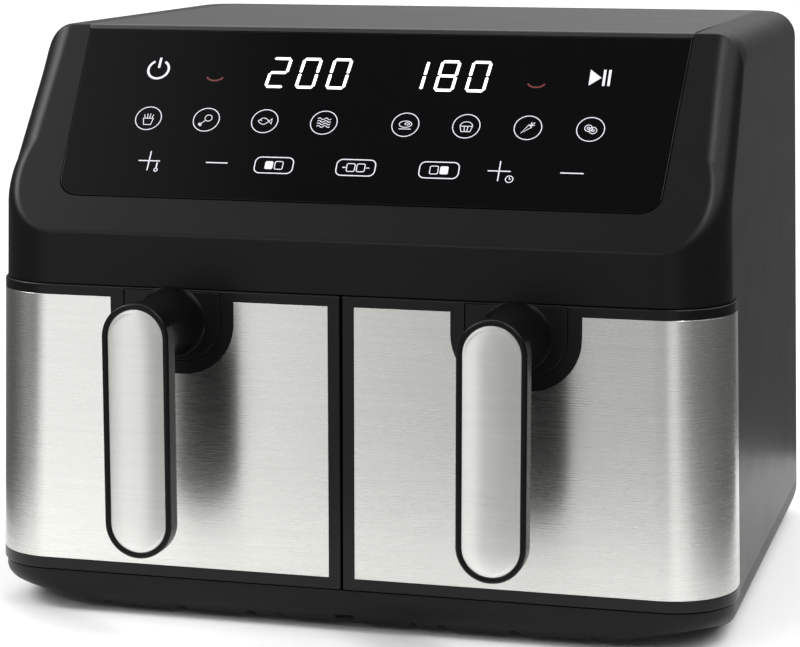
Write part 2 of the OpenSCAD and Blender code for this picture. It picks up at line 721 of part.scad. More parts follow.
module tub(s) color([0.09, 0.09, 0.10]) on_side(s) difference() {
  union() {
    translate([0, 0, tub_z]) linear_extrude(tub_h)
      polygon(rounded(bay_c - tub_w / 2, tub_y, bay_c + tub_w / 2, tub_back, tub_r));
    translate([0, 0, tub_z + tub_h - 1.6]) linear_extrude(1.6)
      polygon(rounded(bay_c - tub_w / 2 - lip_w, tub_y,
        bay_c + tub_w / 2 + lip_w, tub_back + lip_w, tub_r));
  }
  translate([0, 0, tub_z + tub_t]) linear_extrude(tub_h)
    polygon(rounded(bay_c - tub_w / 2 + tub_t, tub_y + tub_t,
      bay_c + tub_w / 2 - tub_t, tub_back - tub_t, tub_r - tub_t));
  tub_screws() translate([0, 0, -1]) cylinder(r = screw_r + screw_clear, h = 9);
}

// Space a drawer front fills, grown by g and drawn in by e at its flat edges
module drawer_form(g, e) intersection() {
  body_solid(g, drawer_z + e, drawer_top - e);
  box([drawer_gap / 2 + e, -big / 2, 0], [big, drawer_back - drawer_clear, big]);
}

module skin_area() difference() {
  box([drawer_gap / 2 + border, -big / 2, drawer_z + border],
      [big, drawer_back - drawer_clear - 1.5, drawer_top - border_top]);
  along_y(-big / 2, front_y + 20) polygon(cutout_outline(0));
}

module drawer_shell(s) color([0.07, 0.07, 0.075]) on_side(s) difference() {
  union() {
    difference() {
      drawer_form(proud, 0);
      // hollow behind the front wall
      intersection() {
        body_solid(proud - front_wall, drawer_z + front_wall, drawer_top - front_wall);
        box([drawer_gap / 2 + front_wall, -big / 2, 0], [big, big, big]);
      }
    }
    // posts that carry the inner panel and the tub
    tub_screws() translate([0, 0, tub_t + panel_t])
      cylinder(r = 4.5, h = panel_y - drawer_y - front_wall + 1);
  }
  tub_screws() cylinder(r = screw_r + screw_clear, h = 9);
  // recess for the skin
  difference() {
    intersection() {
      body_solid(proud + 1, 0, drawer_top);
      skin_area();
    }
    body_solid(proud - skin_t, -1, drawer_top + 1);
  }
  // seat for the handle plate
  along_y(drawer_y - 1, drawer_y + 1.5) polygon(plate_outline(0.25));
  translate([handle_x, drawer_y - 1, boss_z]) rotate([-90, 0, 0]) cylinder(r = screw_r + 0.2, h = 10);
}

module inner_panel(s) color([0.10, 0.10, 0.10]) on_side(s) difference() {
  intersection() {
    body_solid(proud - front_wall - seam, drawer_z + front_wall + seam, drawer_top - front_wall - seam);
    box([drawer_gap / 2 + front_wall + seam, panel_y, 0], [big, panel_y + panel_t, big]);
  }
  tub_screws() cylinder(r = screw_r + screw_clear, h = 9);
}

module steel_skin(s) color([0.80, 0.80, 0.78]) on_side(s) difference() {
  intersection() {
    body_solid(proud, 0, drawer_top);
    difference() {
      box([drawer_gap / 2 + border + 0.1, -big / 2, drawer_z + border + 0.1],
          [big, drawer_back - drawer_clear - 1.6, drawer_top - border_top - 0.1]);
      along_y(-big / 2, front_y + 20) polygon(cutout_outline(0.1));
    }
  }
  body_solid(proud - skin_t + bond, -1, drawer_top + 1);
}

// Outline of the handle plate, in X and Z, grown by g
function plate_outline(g) =
  let (x0 = handle_x - plate_w / 2 - g, x1 = handle_x + plate_w / 2 + g, r = cutout_r - 7,
       z0 = drawer_top - border_top - cutout_h + 7 - g)
  concat(arc(x1 - r, z0 + r, r, -90, 0), [[x1, drawer_top - 1 + g], [x0, drawer_top - 1 + g]],
    arc(x0 + r, z0 + r, r, 180, 270));

module handle_plate(s) color([0.07, 0.07, 0.075]) on_side(s) difference() {
  along_y(drawer_y, drawer_y + 1.5) polygon(plate_outline(0));
  translate([handle_x, drawer_y - 1, boss_z]) rotate([-90, 0, 0]) cylinder(r = screw_r + 0.2, h = 10);
}

module handle(s) color([0.06, 0.06, 0.065]) on_side(s) difference() {
  union() {
    along_y(handle_y, handle_y + handle_t) polygon(pill(handle_x, handle_z, handle_w, handle_l));
    translate([handle_x, drawer_y, boss_z]) rotate([90, 0, 0])
      cylinder(r1 = boss_r, r2 = boss_tip_r, h = boss_len + 0.5);
  }
  along_y(handle_y - 1, handle_y + inlay_t)
    polygon(pill(handle_x, handle_z, handle_w - 2 * handle_rim, handle_l - 2 * handle_rim));
  translate([handle_x, drawer_y + 1, boss_z]) rotate([90, 0, 0]) cylinder(r = screw_r, h = 31);
}

module handle_inlay(s) color([0.82, 0.82, 0.80]) on_side(s)
  along_y(handle_y, handle_y + inlay_t)
    polygon(pill(handle_x, handle_z, handle_w - 2 * handle_rim - 0.2, handle_l - 2 * handle_rim - 0.2));

module crisper_plate(s) color([0.10, 0.10, 0.11]) on_side(s)
  translate([0, 0, crisper_z0]) linear_extrude(crisper_t) difference() {
    polygon(rounded(crisper_x0, crisper_y0, crisper_x1, crisper_y1, tub_r - tub_t - crisper_gap));
    translate([bay_c, (crisper_y0 + crisper_y1) / 2])
      for (i = [-holes_x:holes_x], j = [-holes_y:holes_y])
        translate([i * crisper_pitch, j * crisper_pitch]) circle(d = crisper_hole, $fn = 16);
  }

// Silicone clips on the plate's edges, which are also its legs
module bumpers(s) color([0.12, 0.12, 0.12]) on_side(s) difference() {
  for (x = [-1, 1], y = [crisper_y0 + 45, crisper_y1 - 45])
    translate([bay_c + x * (tub_w / 2 - tub_t - slide_clear - bumper[1] / 2), y, 0])
      box([-bumper[1] / 2, -bumper[0] / 2, tub_z + tub_t + slide_clear],
          [bumper[1] / 2, bumper[0] / 2, crisper_z0 + crisper_t + bumper[2]]);
  box([crisper_x0, crisper_y0, crisper_z0], [crisper_x1, crisper_y1, crisper_z0 + crisper_t]);
}

module drawer_screws(s) color([0.60, 0.60, 0.61]) on_side(s) {
  tub_screws() {
    cylinder(r = screw_r, h = 7);
    translate([0, 0, -1.4]) cylinder(r = screw_head_r, h = 1.4);
  }
  translate([handle_x, drawer_y + front_wall, boss_z]) rotate([90, 0, 0]) {
    cylinder(r = screw_r - 0.05, h = 22);
    translate([0, 0, -1.8]) cylinder(r = screw_head_r, h = 1.8);
  }
}

housing();
top_cover();
rear_cover();
base();
rubber_feet();
cover_screws();
control_glass();
display_carrier();
displays();
control_board();
power_board();
heat_shield();
centre_divider();
cord_gland();
oven(-1);  // left_oven
heater(-1);  // left_heater
heater_guard(-1);  // left_heater_guard
motor(-1);  // left_motor
motor_bracket(-1);  // left_motor_bracket
hot_air_fan(-1);  // left_hot_air_fan
cooling_fan(-1);  // left_cooling_fan
sensor(-1);  // left_sensor
switch(-1);  // left_switch
plunger(-1);  // left_plunger
exhaust_duct(-1);  // left_exhaust_duct
runners(-1);  // left_runners
tub(-1);  // left_tub
drawer_shell(-1);  // left_drawer_shell
inner_panel(-1);  // left_inner_panel
steel_skin(-1);  // left_steel_skin
handle_plate(-1);  // left_handle_plate
handle(-1);  // left_handle
handle_inlay(-1);  // left_handle_inlay
crisper_plate(-1);  // left_crisper_plate
bumpers(-1);  // left_bumpers
drawer_screws(-1);  // left_drawer_screws
oven(1);  // right_oven
heater(1);  // right_heater
heater_guard(1);  // right_heater_guard
motor(1);  // right_motor
motor_bracket(1);  // right_motor_bracket
hot_air_fan(1);  // right_hot_air_fan
cooling_fan(1);  // right_cooling_fan
sensor(1);  // right_sensor
switch(1);  // right_switch
plunger(1);  // right_plunger
exhaust_duct(1);  // right_exhaust_duct
runners(1);  // right_runners
tub(1);  // right_tub
drawer_shell(1);  // right_drawer_shell
inner_panel(1);  // right_inner_panel
steel_skin(1);  // right_steel_skin
handle_plate(1);  // right_handle_plate
handle(1);  // right_handle
handle_inlay(1);  // right_handle_inlay
crisper_plate(1);  // right_crisper_plate
bumpers(1);  // right_bumpers
drawer_screws(1);  // right_drawer_screws
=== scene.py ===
"""Looks of a countertop hot air fryer with side-by-side drawers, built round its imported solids.

Sizes are in millimetres and turn to metres when a mesh is made. X runs across the front to the
viewer's right, the drawers face -Y and Z is up.
"""

import logging
import math
from dataclasses import dataclass, field, replace
from enum import Enum

import bmesh
import bpy
import numpy as np
from mathutils import Matrix, Vector


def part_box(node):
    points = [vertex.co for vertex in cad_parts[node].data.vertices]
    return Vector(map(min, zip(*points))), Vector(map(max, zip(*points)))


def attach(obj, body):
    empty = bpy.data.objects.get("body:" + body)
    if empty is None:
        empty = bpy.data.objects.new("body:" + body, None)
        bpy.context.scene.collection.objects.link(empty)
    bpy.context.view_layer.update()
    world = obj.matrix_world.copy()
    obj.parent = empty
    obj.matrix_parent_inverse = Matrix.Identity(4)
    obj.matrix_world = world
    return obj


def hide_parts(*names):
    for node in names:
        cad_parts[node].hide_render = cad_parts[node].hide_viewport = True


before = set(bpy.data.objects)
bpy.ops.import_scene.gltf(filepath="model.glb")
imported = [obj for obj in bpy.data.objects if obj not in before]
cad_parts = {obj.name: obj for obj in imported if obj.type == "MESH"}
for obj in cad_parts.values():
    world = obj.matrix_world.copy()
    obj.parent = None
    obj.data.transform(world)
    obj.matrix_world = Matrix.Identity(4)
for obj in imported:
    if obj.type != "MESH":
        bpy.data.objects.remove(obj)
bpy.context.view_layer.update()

MM = 0.001
log = logging.getLogger("fryer")


# ------------------------------------------------------------------ colours and nodes


def colour(code: str, alpha: float = 1.0) -> tuple[float, float, float, float]:
    """Turns an sRGB hex code into linear red, green, blue and alpha.

    Args:
        code: six hex digits, such as "e8e8e4".
        alpha: the opacity to add.

    Returns:
        Four numbers for a colour socket.
    """
    parts = np.array([int(code[i:i + 2], 16) for i in (0, 2, 4)]) / 255.0
    linear = np.where(parts <= 0.04045, parts / 12.92, ((parts + 0.055) / 1.055) ** 2.4)
    return (*linear.tolist(), alpha)


def add(tree: bpy.types.NodeTree, kind: str, settings: dict | None = None,
        links: dict | None = None) -> bpy.types.Node:
    """Adds one node with its settings and its links.

    Args:
        tree: the node tree.
        kind: the node's type name.
        settings: values by input name, or by property name where there is no such input.
        links: output sockets by input name.

    Returns:
        The new node.
    """
    node = tree.nodes.new(kind)
    for key, value in (settings or {}).items():
        if isinstance(key, int) or key in node.inputs:
            node.inputs[key].default_value = value
        else:
            setattr(node, key, value)
    for key, socket in (links or {}).items():
        tree.links.new(socket, node.inputs[key])
    return node


# ------------------------------------------------------------------ finishes

# Noise seldom leaves the middle of its range, so that is what gets stretched.
MIDDLE = {"From Min": 0.3, "From Max": 0.7}


@dataclass(frozen=True)
class Finish:
    """A plain even surface; the other finishes add their own pattern to it."""

    name: str
    shade: str
    roughness: float = 0.5
    metallic: float = 0.0
    ior: float = 1.5
    specular: float = 0.5

    def material(self) -> bpy.types.Material:
        """Makes the material once, and gives the same one after that.

        Returns:
            The material.
        """
        made = bpy.data.materials.get(self.name)
        if made:
            return made
        made = bpy.data.materials.new(self.name)
        made.use_nodes = True
        tree = made.node_tree
        shader = tree.nodes["Principled BSDF"]
        shader.inputs["Base Color"].default_value = colour(self.shade)
        shader.inputs["Roughness"].default_value = self.roughness
        shader.inputs["Metallic"].default_value = self.metallic
        shader.inputs["IOR"].default_value = self.ior
        shader.inputs["Specular IOR Level"].default_value = self.specular
        self.pattern(tree, shader)
        return made

    def pattern(self, tree: bpy.types.NodeTree, shader: bpy.types.Node) -> None:
        """Adds the surface's own detail; a plain finish has none."""

    def tint(self, factor: float) -> tuple[float, float, float, float]:
        """The finish's own colour, made lighter or darker by a factor and kept under white."""
        return (*(min(1.0, c * factor) for c in colour(self.shade)[:3]), 1.0)

    def patches(self, tree: bpy.types.NodeTree, sizes: tuple[float, float, float], detail: float = 2.0,
                rough: float = 0.5) -> bpy.types.NodeSocket:
        """Soft irregular patches of a real size on the piece.

        Args:
            tree: the node tree.
            sizes: about how long a patch is on each axis, in millimetres.
            detail: how many finer layers it has.
            rough: how strong each finer layer is.

        Returns:
            The pattern's height, 0 to 1.
        """
        place = add(tree, "ShaderNodeTexCoord").outputs["Object"]
        scale = tuple(1.0 / (size * MM) for size in sizes)
        mapped = add(tree, "ShaderNodeMapping", {"Scale": scale}, {"Vector": place})
        return add(tree, "ShaderNodeTexNoise", {"Scale": 1.0, "Detail": detail, "Roughness": rough},
                   {"Vector": mapped.outputs["Vector"]}).outputs["Fac"]


@dataclass(frozen=True)
class MouldedPlastic(Finish):
    """Injection-moulded plastic: spark-eroded texture that spreads a highlight, with faint handling marks."""

    grain: float = 0.5
    depth: float = 0.012
    marks: float = 0.06
    wide: tuple[float, float, float] = (38.0, 38.0, 24.0)
    lift: float = 1.25

    def pattern(self, tree: bpy.types.NodeTree, shader: bpy.types.Node) -> None:
        """Fine grain as bump and as a slightly lighter tint, and slow clouds in the gloss.

        Args:
            tree: the material's node tree.
            shader: its shader.
        """
        grain = self.patches(tree, (self.grain,) * 3, 3.0, 0.6)
        raised = add(tree, "ShaderNodeBump", {"Strength": 1.0, "Distance": self.depth * MM}, {"Height": grain})
        tree.links.new(raised.outputs["Normal"], shader.inputs["Normal"])
        clouds = self.patches(tree, self.wide, 4.0, 0.55)
        gloss = add(tree, "ShaderNodeMapRange", {**MIDDLE, "To Min": self.roughness - self.marks,
                                                 "To Max": self.roughness + self.marks}, {"Value": clouds})
        tree.links.new(gloss.outputs["Result"], shader.inputs["Roughness"])
        share = add(tree, "ShaderNodeMapRange", {**MIDDLE, "To Min": 0.0, "To Max": 1.0}, {"Value": grain})
        base = colour(self.shade)
        light = (*(c * self.lift + 0.0008 for c in base[:3]), 1.0)
        tone = add(tree, "ShaderNodeMix", {"data_type": "RGBA", 6: base, 7: light},
                   {"Factor": share.outputs["Result"]})
        tree.links.new(tone.outputs[2], shader.inputs["Base Color"])


@dataclass(frozen=True)
class BrushedSteel(Finish):
    """Stainless sheet brushed across the front: level streaks that smear reflections up and down."""

    streak: float = 0.35
    length: float = 26.0
    contrast: float = 0.10
    anisotropy: float = 0.75
    scratch: tuple[float, float, float] = (60.0, 60.0, 0.5)
    scratch_depth: float = 0.0008

    def pattern(self, tree: bpy.types.NodeTree, shader: bpy.types.Node) -> None:
        """Long thin streaks in colour, gloss and height, over slow blotches.

        Half of the tone comes from fine streaks and half from broad ones. The gloss takes 0.65 of
        the fine streaks and 0.35 of the blotches.

        Args:
            tree: the material's node tree.
            shader: its shader.
        """
        fine = self.patches(tree, (self.length, self.length, self.streak), 4.0, 0.7)
        broad = self.patches(tree, (self.length * 3.0, self.length * 3.0, self.streak * 7.0))
        blotch = self.patches(tree, (45.0, 45.0, 30.0))
        part = add(tree, "ShaderNodeMath", {"operation": "MULTIPLY", 1: 0.5}, {0: fine})
        both = add(tree, "ShaderNodeMath", {"operation": "MULTIPLY_ADD", 1: 0.5},
                   {0: broad, 2: part.outputs[0]})
        share = add(tree, "ShaderNodeMapRange", {**MIDDLE, "To Min": 0.0, "To Max": 1.0},
                    {"Value": both.outputs[0]})
        dark = (*(c * (1.0 - self.contrast) for c in colour(self.shade)[:3]), 1.0)
        tone = add(tree, "ShaderNodeMix", {"data_type": "RGBA", 6: dark, 7: self.tint(1.0 + self.contrast)},
                   {"Factor": share.outputs["Result"]})
        tree.links.new(tone.outputs[2], shader.inputs["Base Color"])
        part = add(tree, "ShaderNodeMath", {"operation": "MULTIPLY", 1: 0.65}, {0: fine})
        mixed = add(tree, "ShaderNodeMath", {"operation": "MULTIPLY_ADD", 1: 0.35},
                    {0: blotch, 2: part.outputs[0]})
        gloss = add(tree, "ShaderNodeMapRange", {**MIDDLE, "To Min": self.roughness - 0.01,
                                                 "To Max": self.roughness + 0.015}, {"Value": mixed.outputs[0]})
        tree.links.new(gloss.outputs["Result"], shader.inputs["Roughness"])
        raised = add(tree, "ShaderNodeBump", {"Strength": 1.0, "Distance": self.scratch_depth * MM},
                     {"Height": self.patches(tree, self.scratch, 0.0)})
        tree.links.new(raised.outputs["Normal"], shader.inputs["Normal"])
        shader.inputs["Anisotropic"].default_value = self.anisotropy
        shader.inputs["Anisotropic Rotation"].default_value = 0.25
        level = add(tree, "ShaderNodeTangent", {"direction_type": "RADIAL", "axis": "Z"})
        tree.links.new(level.outputs["Tangent"], shader.inputs["Tangent"])


@dataclass(frozen=True)
class PrintedGlass(Finish):
    """Toughened glass printed black behind: sharp reflections, blurred a little by finger smears."""

    def pattern(self, tree: bpy.types.NodeTree, shader: bpy.types.Node) -> None:
        """Slow smears in the gloss, from 0.6 to 1.8 times the clean glass's roughness.

        Args:
            tree: the material's node tree.
            shader: its shader.
        """
        smear = self.patches(tree, (30.0, 18.0, 18.0), 5.0, 0.6)
        gloss = add(tree, "ShaderNodeMapRange", {**MIDDLE, "To Min": self.roughness * 0.6,
                                                 "To Max": self.roughness * 1.8}, {"Value": smear})
        tree.links.new(gloss.outputs["Result"], shader.inputs["Roughness"])


@dataclass(frozen=True)
class NonStickCoat(Finish):
    """Sprayed non-stick enamel on steel: dark satin, a scatter of pale specks, an orange-peel skin."""

    speck: float = 1.1
    speck_shade: str = "4a4a4b"

    def pattern(self, tree: bpy.types.NodeTree, shader: bpy.types.Node) -> None:
        """Specks round the middles of a cell pattern, and a shallow skin of bumps.

        Args:
            tree: the material's node tree.
            shader: its shader.
        """
        place = add(tree, "ShaderNodeTexCoord").outputs["Object"]
        cells = add(tree, "ShaderNodeTexVoronoi", {"Scale": 1.0 / (self.speck * MM)}, {"Vector": place})
        dot = add(tree, "ShaderNodeMapRange", {"From Min": 0.12, "From Max": 0.2, "To Min": 1.0, "To Max": 0.0},
                  {"Value": cells.outputs["Distance"]})
        tone = add(tree, "ShaderNodeMix",
                   {"data_type": "RGBA", 6: colour(self.shade), 7: colour(self.speck_shade)},
                   {"Factor": dot.outputs["Result"]})
        tree.links.new(tone.outputs[2], shader.inputs["Base Color"])
        raised = add(tree, "ShaderNodeBump", {"Strength": 1.0, "Distance": 0.03 * MM},
                     {"Height": self.patches(tree, (1.6,) * 3)})
        tree.links.new(raised.outputs["Normal"], shader.inputs["Normal"])


@dataclass(frozen=True)
class SheetMetal(Finish):
    """Zinc-coated or plain rolled sheet: crystal patches of slightly different grey, with soft rub marks."""

    patch: float = 9.0
    contrast: float = 0.18

    def pattern(self, tree: bpy.types.NodeTree, shader: bpy.types.Node) -> None:
        """Crystal patches in colour, clouds in the gloss and a fine rolled grain.

        Args:
            tree: the material's node tree.
            shader: its shader.
        """
        place = add(tree, "ShaderNodeTexCoord").outputs["Object"]
        cells = add(tree, "ShaderNodeTexVoronoi", {"Scale": 1.0 / (self.patch * MM)}, {"Vector": place})
        dark = (*(c * (1.0 - self.contrast) for c in colour(self.shade)[:3]), 1.0)
        tone = add(tree, "ShaderNodeMix", {"data_type": "RGBA", 6: dark, 7: colour(self.shade)},
                   {"Factor": cells.outputs["Color"]})
        tree.links.new(tone.outputs[2], shader.inputs["Base Color"])
        clouds = self.patches(tree, (14.0,) * 3, 4.0)
        gloss = add(tree, "ShaderNodeMapRange", {**MIDDLE, "To Min": self.roughness - 0.08,
                                                 "To Max": self.roughness + 0.1}, {"Value": clouds})
        tree.links.new(gloss.outputs["Result"], shader.inputs["Roughness"])
        raised = add(tree, "ShaderNodeBump", {"Strength": 1.0, "Distance": 0.01 * MM},
                     {"Height": self.patches(tree, (0.7,) * 3)})
        tree.links.new(raised.outputs["Normal"], shader.inputs["Normal"])


@dataclass(frozen=True)
class GlowingInk(Finish):
    """A lit numeral seen through the glass, which glows a little; on printed white ink and on an unlit lamp the
    same glow is painted light.
    """

    glow: float = 0.3

    def pattern(self, tree: bpy.types.NodeTree, shader: bpy.types.Node) -> None:
        """An even glow in the ink's own colour: real light for lit numerals, a painted glow for printed ink and
        unlit lamps.
        """
        shader.inputs["Emission Color"].default_value = colour(self.shade)
        shader.inputs["Emission Strength"].default_value = self.glow


# Satin black ABS off a spark-eroded mould: broad soft highlights that show the body's edges.
HOUSING_ABS = MouldedPlastic("moulded_abs_housing", "0c0c0d", 0.34, specular=0.16, grain=0.45, depth=0.008,
                             marks=0.012)
# The same plastic from a duller mould: catches the sky, so the top reads grey and its lip black.
COVER_ABS = MouldedPlastic("moulded_abs_cover", "161617", 0.32, specular=0.5, grain=0.5, depth=0.012,
                           marks=0.015)
# Glossier ABS: the thin border round the steel stays black and crisp.
FRONT_ABS = MouldedPlastic("moulded_abs_front", "09090a", 0.30, specular=0.24, grain=0.4, depth=0.006,
                           marks=0.02)
# The glossiest ABS, where fingers polish it: a thin bright line down the grip's rim.
HANDLE_ABS = MouldedPlastic("moulded_abs_handle", "080809", 0.25, specular=0.15, grain=0.4, depth=0.005,
                            marks=0.02)
# Matt polypropylene: greyer and flatter than the shell in front of it.
BACK_PP = MouldedPlastic("moulded_pp_back", "161617", 0.5, specular=0.3, grain=0.7, depth=0.02, marks=0.03)
# Matt polypropylene, a darker band that seems to fall away under the drawers.
BASE_PP = MouldedPlastic("moulded_pp_base", "0b0b0c", 0.42, specular=0.2, grain=0.6, depth=0.012, marks=0.02)
# Polyamide in three colours: dull and slightly grainy, as heat-proof inner parts are.
INNER_PA = MouldedPlastic("moulded_pa_inner", "17171a", 0.5, grain=0.7, depth=0.02)
NATURAL_PA = MouldedPlastic("moulded_pa_natural", "cfcdc4", 0.45, grain=0.7, depth=0.02)
PLUNGER_PA = MouldedPlastic("moulded_pa_red", "a8321f", 0.4, grain=0.6, depth=0.01)
# Vulcanised rubber: no highlight at all.
RUBBER = MouldedPlastic("moulded_rubber_feet", "111111", 0.8, specular=0.3, grain=0.8, depth=0.03)
# Moulded silicone: a soft sheen between plastic and rubber.
SILICONE = MouldedPlastic("moulded_silicone_clips", "1b1b1c", 0.62, specular=0.35, grain=0.8, depth=0.015)
# Soda-lime glass over black print: a deep, even black with faint mirror images.
GLASS = PrintedGlass("printed_toughened_glass", "050506", 0.05, ior=1.52, specular=0.12)
# Stainless steel, brushed level: bright, with each reflection drawn out up and down. The streaks
# of real brushing are finer than this, and are drawn coarse enough to show.
SKIN_STEEL = BrushedSteel("brushed_stainless_skin", "dededa", 0.27, 1.0, contrast=0.035, anisotropy=0.88)
INLAY_STEEL = BrushedSteel("brushed_stainless_inlay", "dadad6", 0.28, 1.0, streak=0.3, length=14.0,
                           contrast=0.05, anisotropy=0.85)
# Non-stick enamel: dark satin that sparkles faintly.
NON_STICK = NonStickCoat("non_stick_enamel", "1a1a1b", 0.38)
# Zinc-coated steel: a patchwork of greys.
ZINC_SHEET = SheetMetal("zinc_coated_sheet", "b4b6b8", 0.36, 1.0)
# Pressed aluminium: paler and more even than zinc.
FAN_ALUMINIUM = SheetMetal("pressed_aluminium", "c9cacc", 0.33, 1.0, patch=4.0, contrast=0.06)
# Lacquered steel: a grey with its shine held back.
MOTOR_STEEL = SheetMetal("lacquered_motor_steel", "85888c", 0.42, 0.9, patch=3.0)
# Chromed wire: the only mirror inside.
CHROMED = SheetMetal("chromed_wire", "d4d5d8", 0.14, 1.0, patch=6.0, contrast=0.05)
# Zinc-plated screws: small grey glints.
SCREW_STEEL = SheetMetal("zinc_plated_screw", "9c9da0", 0.3, 1.0, patch=2.0)
# Steel tube oxidised by heat: dark, warm and uneven.
OXIDISED = SheetMetal("oxidised_heater_tube", "4a4644", 0.55, 0.8, patch=5.0, contrast=0.35)
# Glass-fibre board under green lacquer: semi-gloss.
SOLDER_MASK = MouldedPlastic("solder_mask_board", "1f5a33", 0.35, grain=1.0, depth=0.02)
# Smoked acrylic: the dark window that the numerals shine through.
DISPLAY = MouldedPlastic("smoked_display_window", "0a0a0a", 0.2, grain=1.0, depth=0.002)
# Screen-printed white with a faint painted glow, lit white numerals, and an unlit red lamp with a faint painted
# glow.
INK_WITH_PAINTED_GLOW = GlowingInk("printed_white_ink_painted_glow", "c4c4cc", 0.5, glow=0.3)
DIGITS = GlowingInk("lit_white_numerals", "ffffff", 0.5, glow=1.0)
# The unlit lamp's faint glow is painted light.
LAMP_WITH_PAINTED_GLOW = GlowingInk("unlit_red_lamp_painted_glow", "5a0f0d", 0.5, glow=0.12)


# ------------------------------------------------------------------ shapes


@dataclass(frozen=True)
class Rect:
    """A rectangle with its own radius at each corner, from (low x, low y) counter-clockwise."""

    x0: float
    y0: float
    x1: float
    y1: float
    radii: tuple[float, float, float, float] = (0.5, 0.5, 0.5, 0.5)

    def grown(self, g: float) -> "Rect":
        """The rectangle moved outwards by g on every side, its round corners with it."""
        return Rect(self.x0 - g, self.y0 - g, self.x1 + g, self.y1 + g,
                    tuple(max(0.05, r + g) for r in self.radii))

    def loop(self, steps: int = 10) -> np.ndarray:
        """Its outline: at each corner an arc of the corner's radius, centred that far inside.

        Args:
            steps: the arc's number of steps.

        Returns:
            An array of points, shape (4 * (steps + 1), 2).
        """
        r = np.array(self.radii)[:, None]
        cx = np.array([self.x0, self.x1, self.x1, self.x0])[:, None] + r * np.array([[1], [-1], [-1], [1]])
        cy = np.array([self.y0, self.y0, self.y1, self.y1])[:, None] + r * np.array([[1], [1], [-1], [-1]])
        a = np.radians(np.array([[180], [270], [0], [90]]) + np.linspace(0, 90, steps + 1)[None, :])
        return np.stack([cx + r * np.cos(a), cy + r * np.sin(a)], -1).reshape(-1, 2)


def pill(x: float, z: float, width: float, length: float) -> Rect:
    """An upright slot shape with round ends, about (x, z)."""
    half = width / 2
    return Rect(x - half, z - length / 2, x + half, z + length / 2, (half,) * 4)


def edge_rows(start: float, end: float, radius: float, steps: int = 3) -> list[tuple[float, float]]:
    """Heights and insets of a wall from start to end whose two edges are rounded.

    Each edge is a quarter circle: its inset is the radius times one minus the cosine, and its
    height the radius times one minus the sine, of an angle that runs from 0 to 90 degrees.

    Args:
        start: the first height.
        end: the last height, above or below start.
        radius: the edges' radius.
        steps: steps in each quarter.

    Returns:
        (height, inset) pairs from start to end.
    """
    way = math.copysign(1.0, end - start)
    a = np.radians(np.linspace(0, 90, steps + 1))
    inset, rise = radius * (1 - np.sin(a)), radius * (1 - np.cos(a))
    low = [(start + way * h, i) for h, i in zip(rise, inset)]
    return low + [(end - way * h, i) for h, i in zip(rise[::-1], inset[::-1])]


def ring_faces(rows: int, count: int, closed: bool = True) -> np.ndarray:
    """Quads between neighbouring rows of a grid of points.

    Args:
        rows: how many rows the grid has.
        count: points in a row.
        closed: whether each row wraps round to its start.

    Returns:
        Four point numbers for each face.
    """
    i = np.arange(rows - 1)[:, None] * count
    j = np.arange(count if closed else count - 1)[None, :]
    k = (j + 1) % count
    return np.stack([i + j, i + k, i + count + k, i + count + j], -1).reshape(-1, 4)


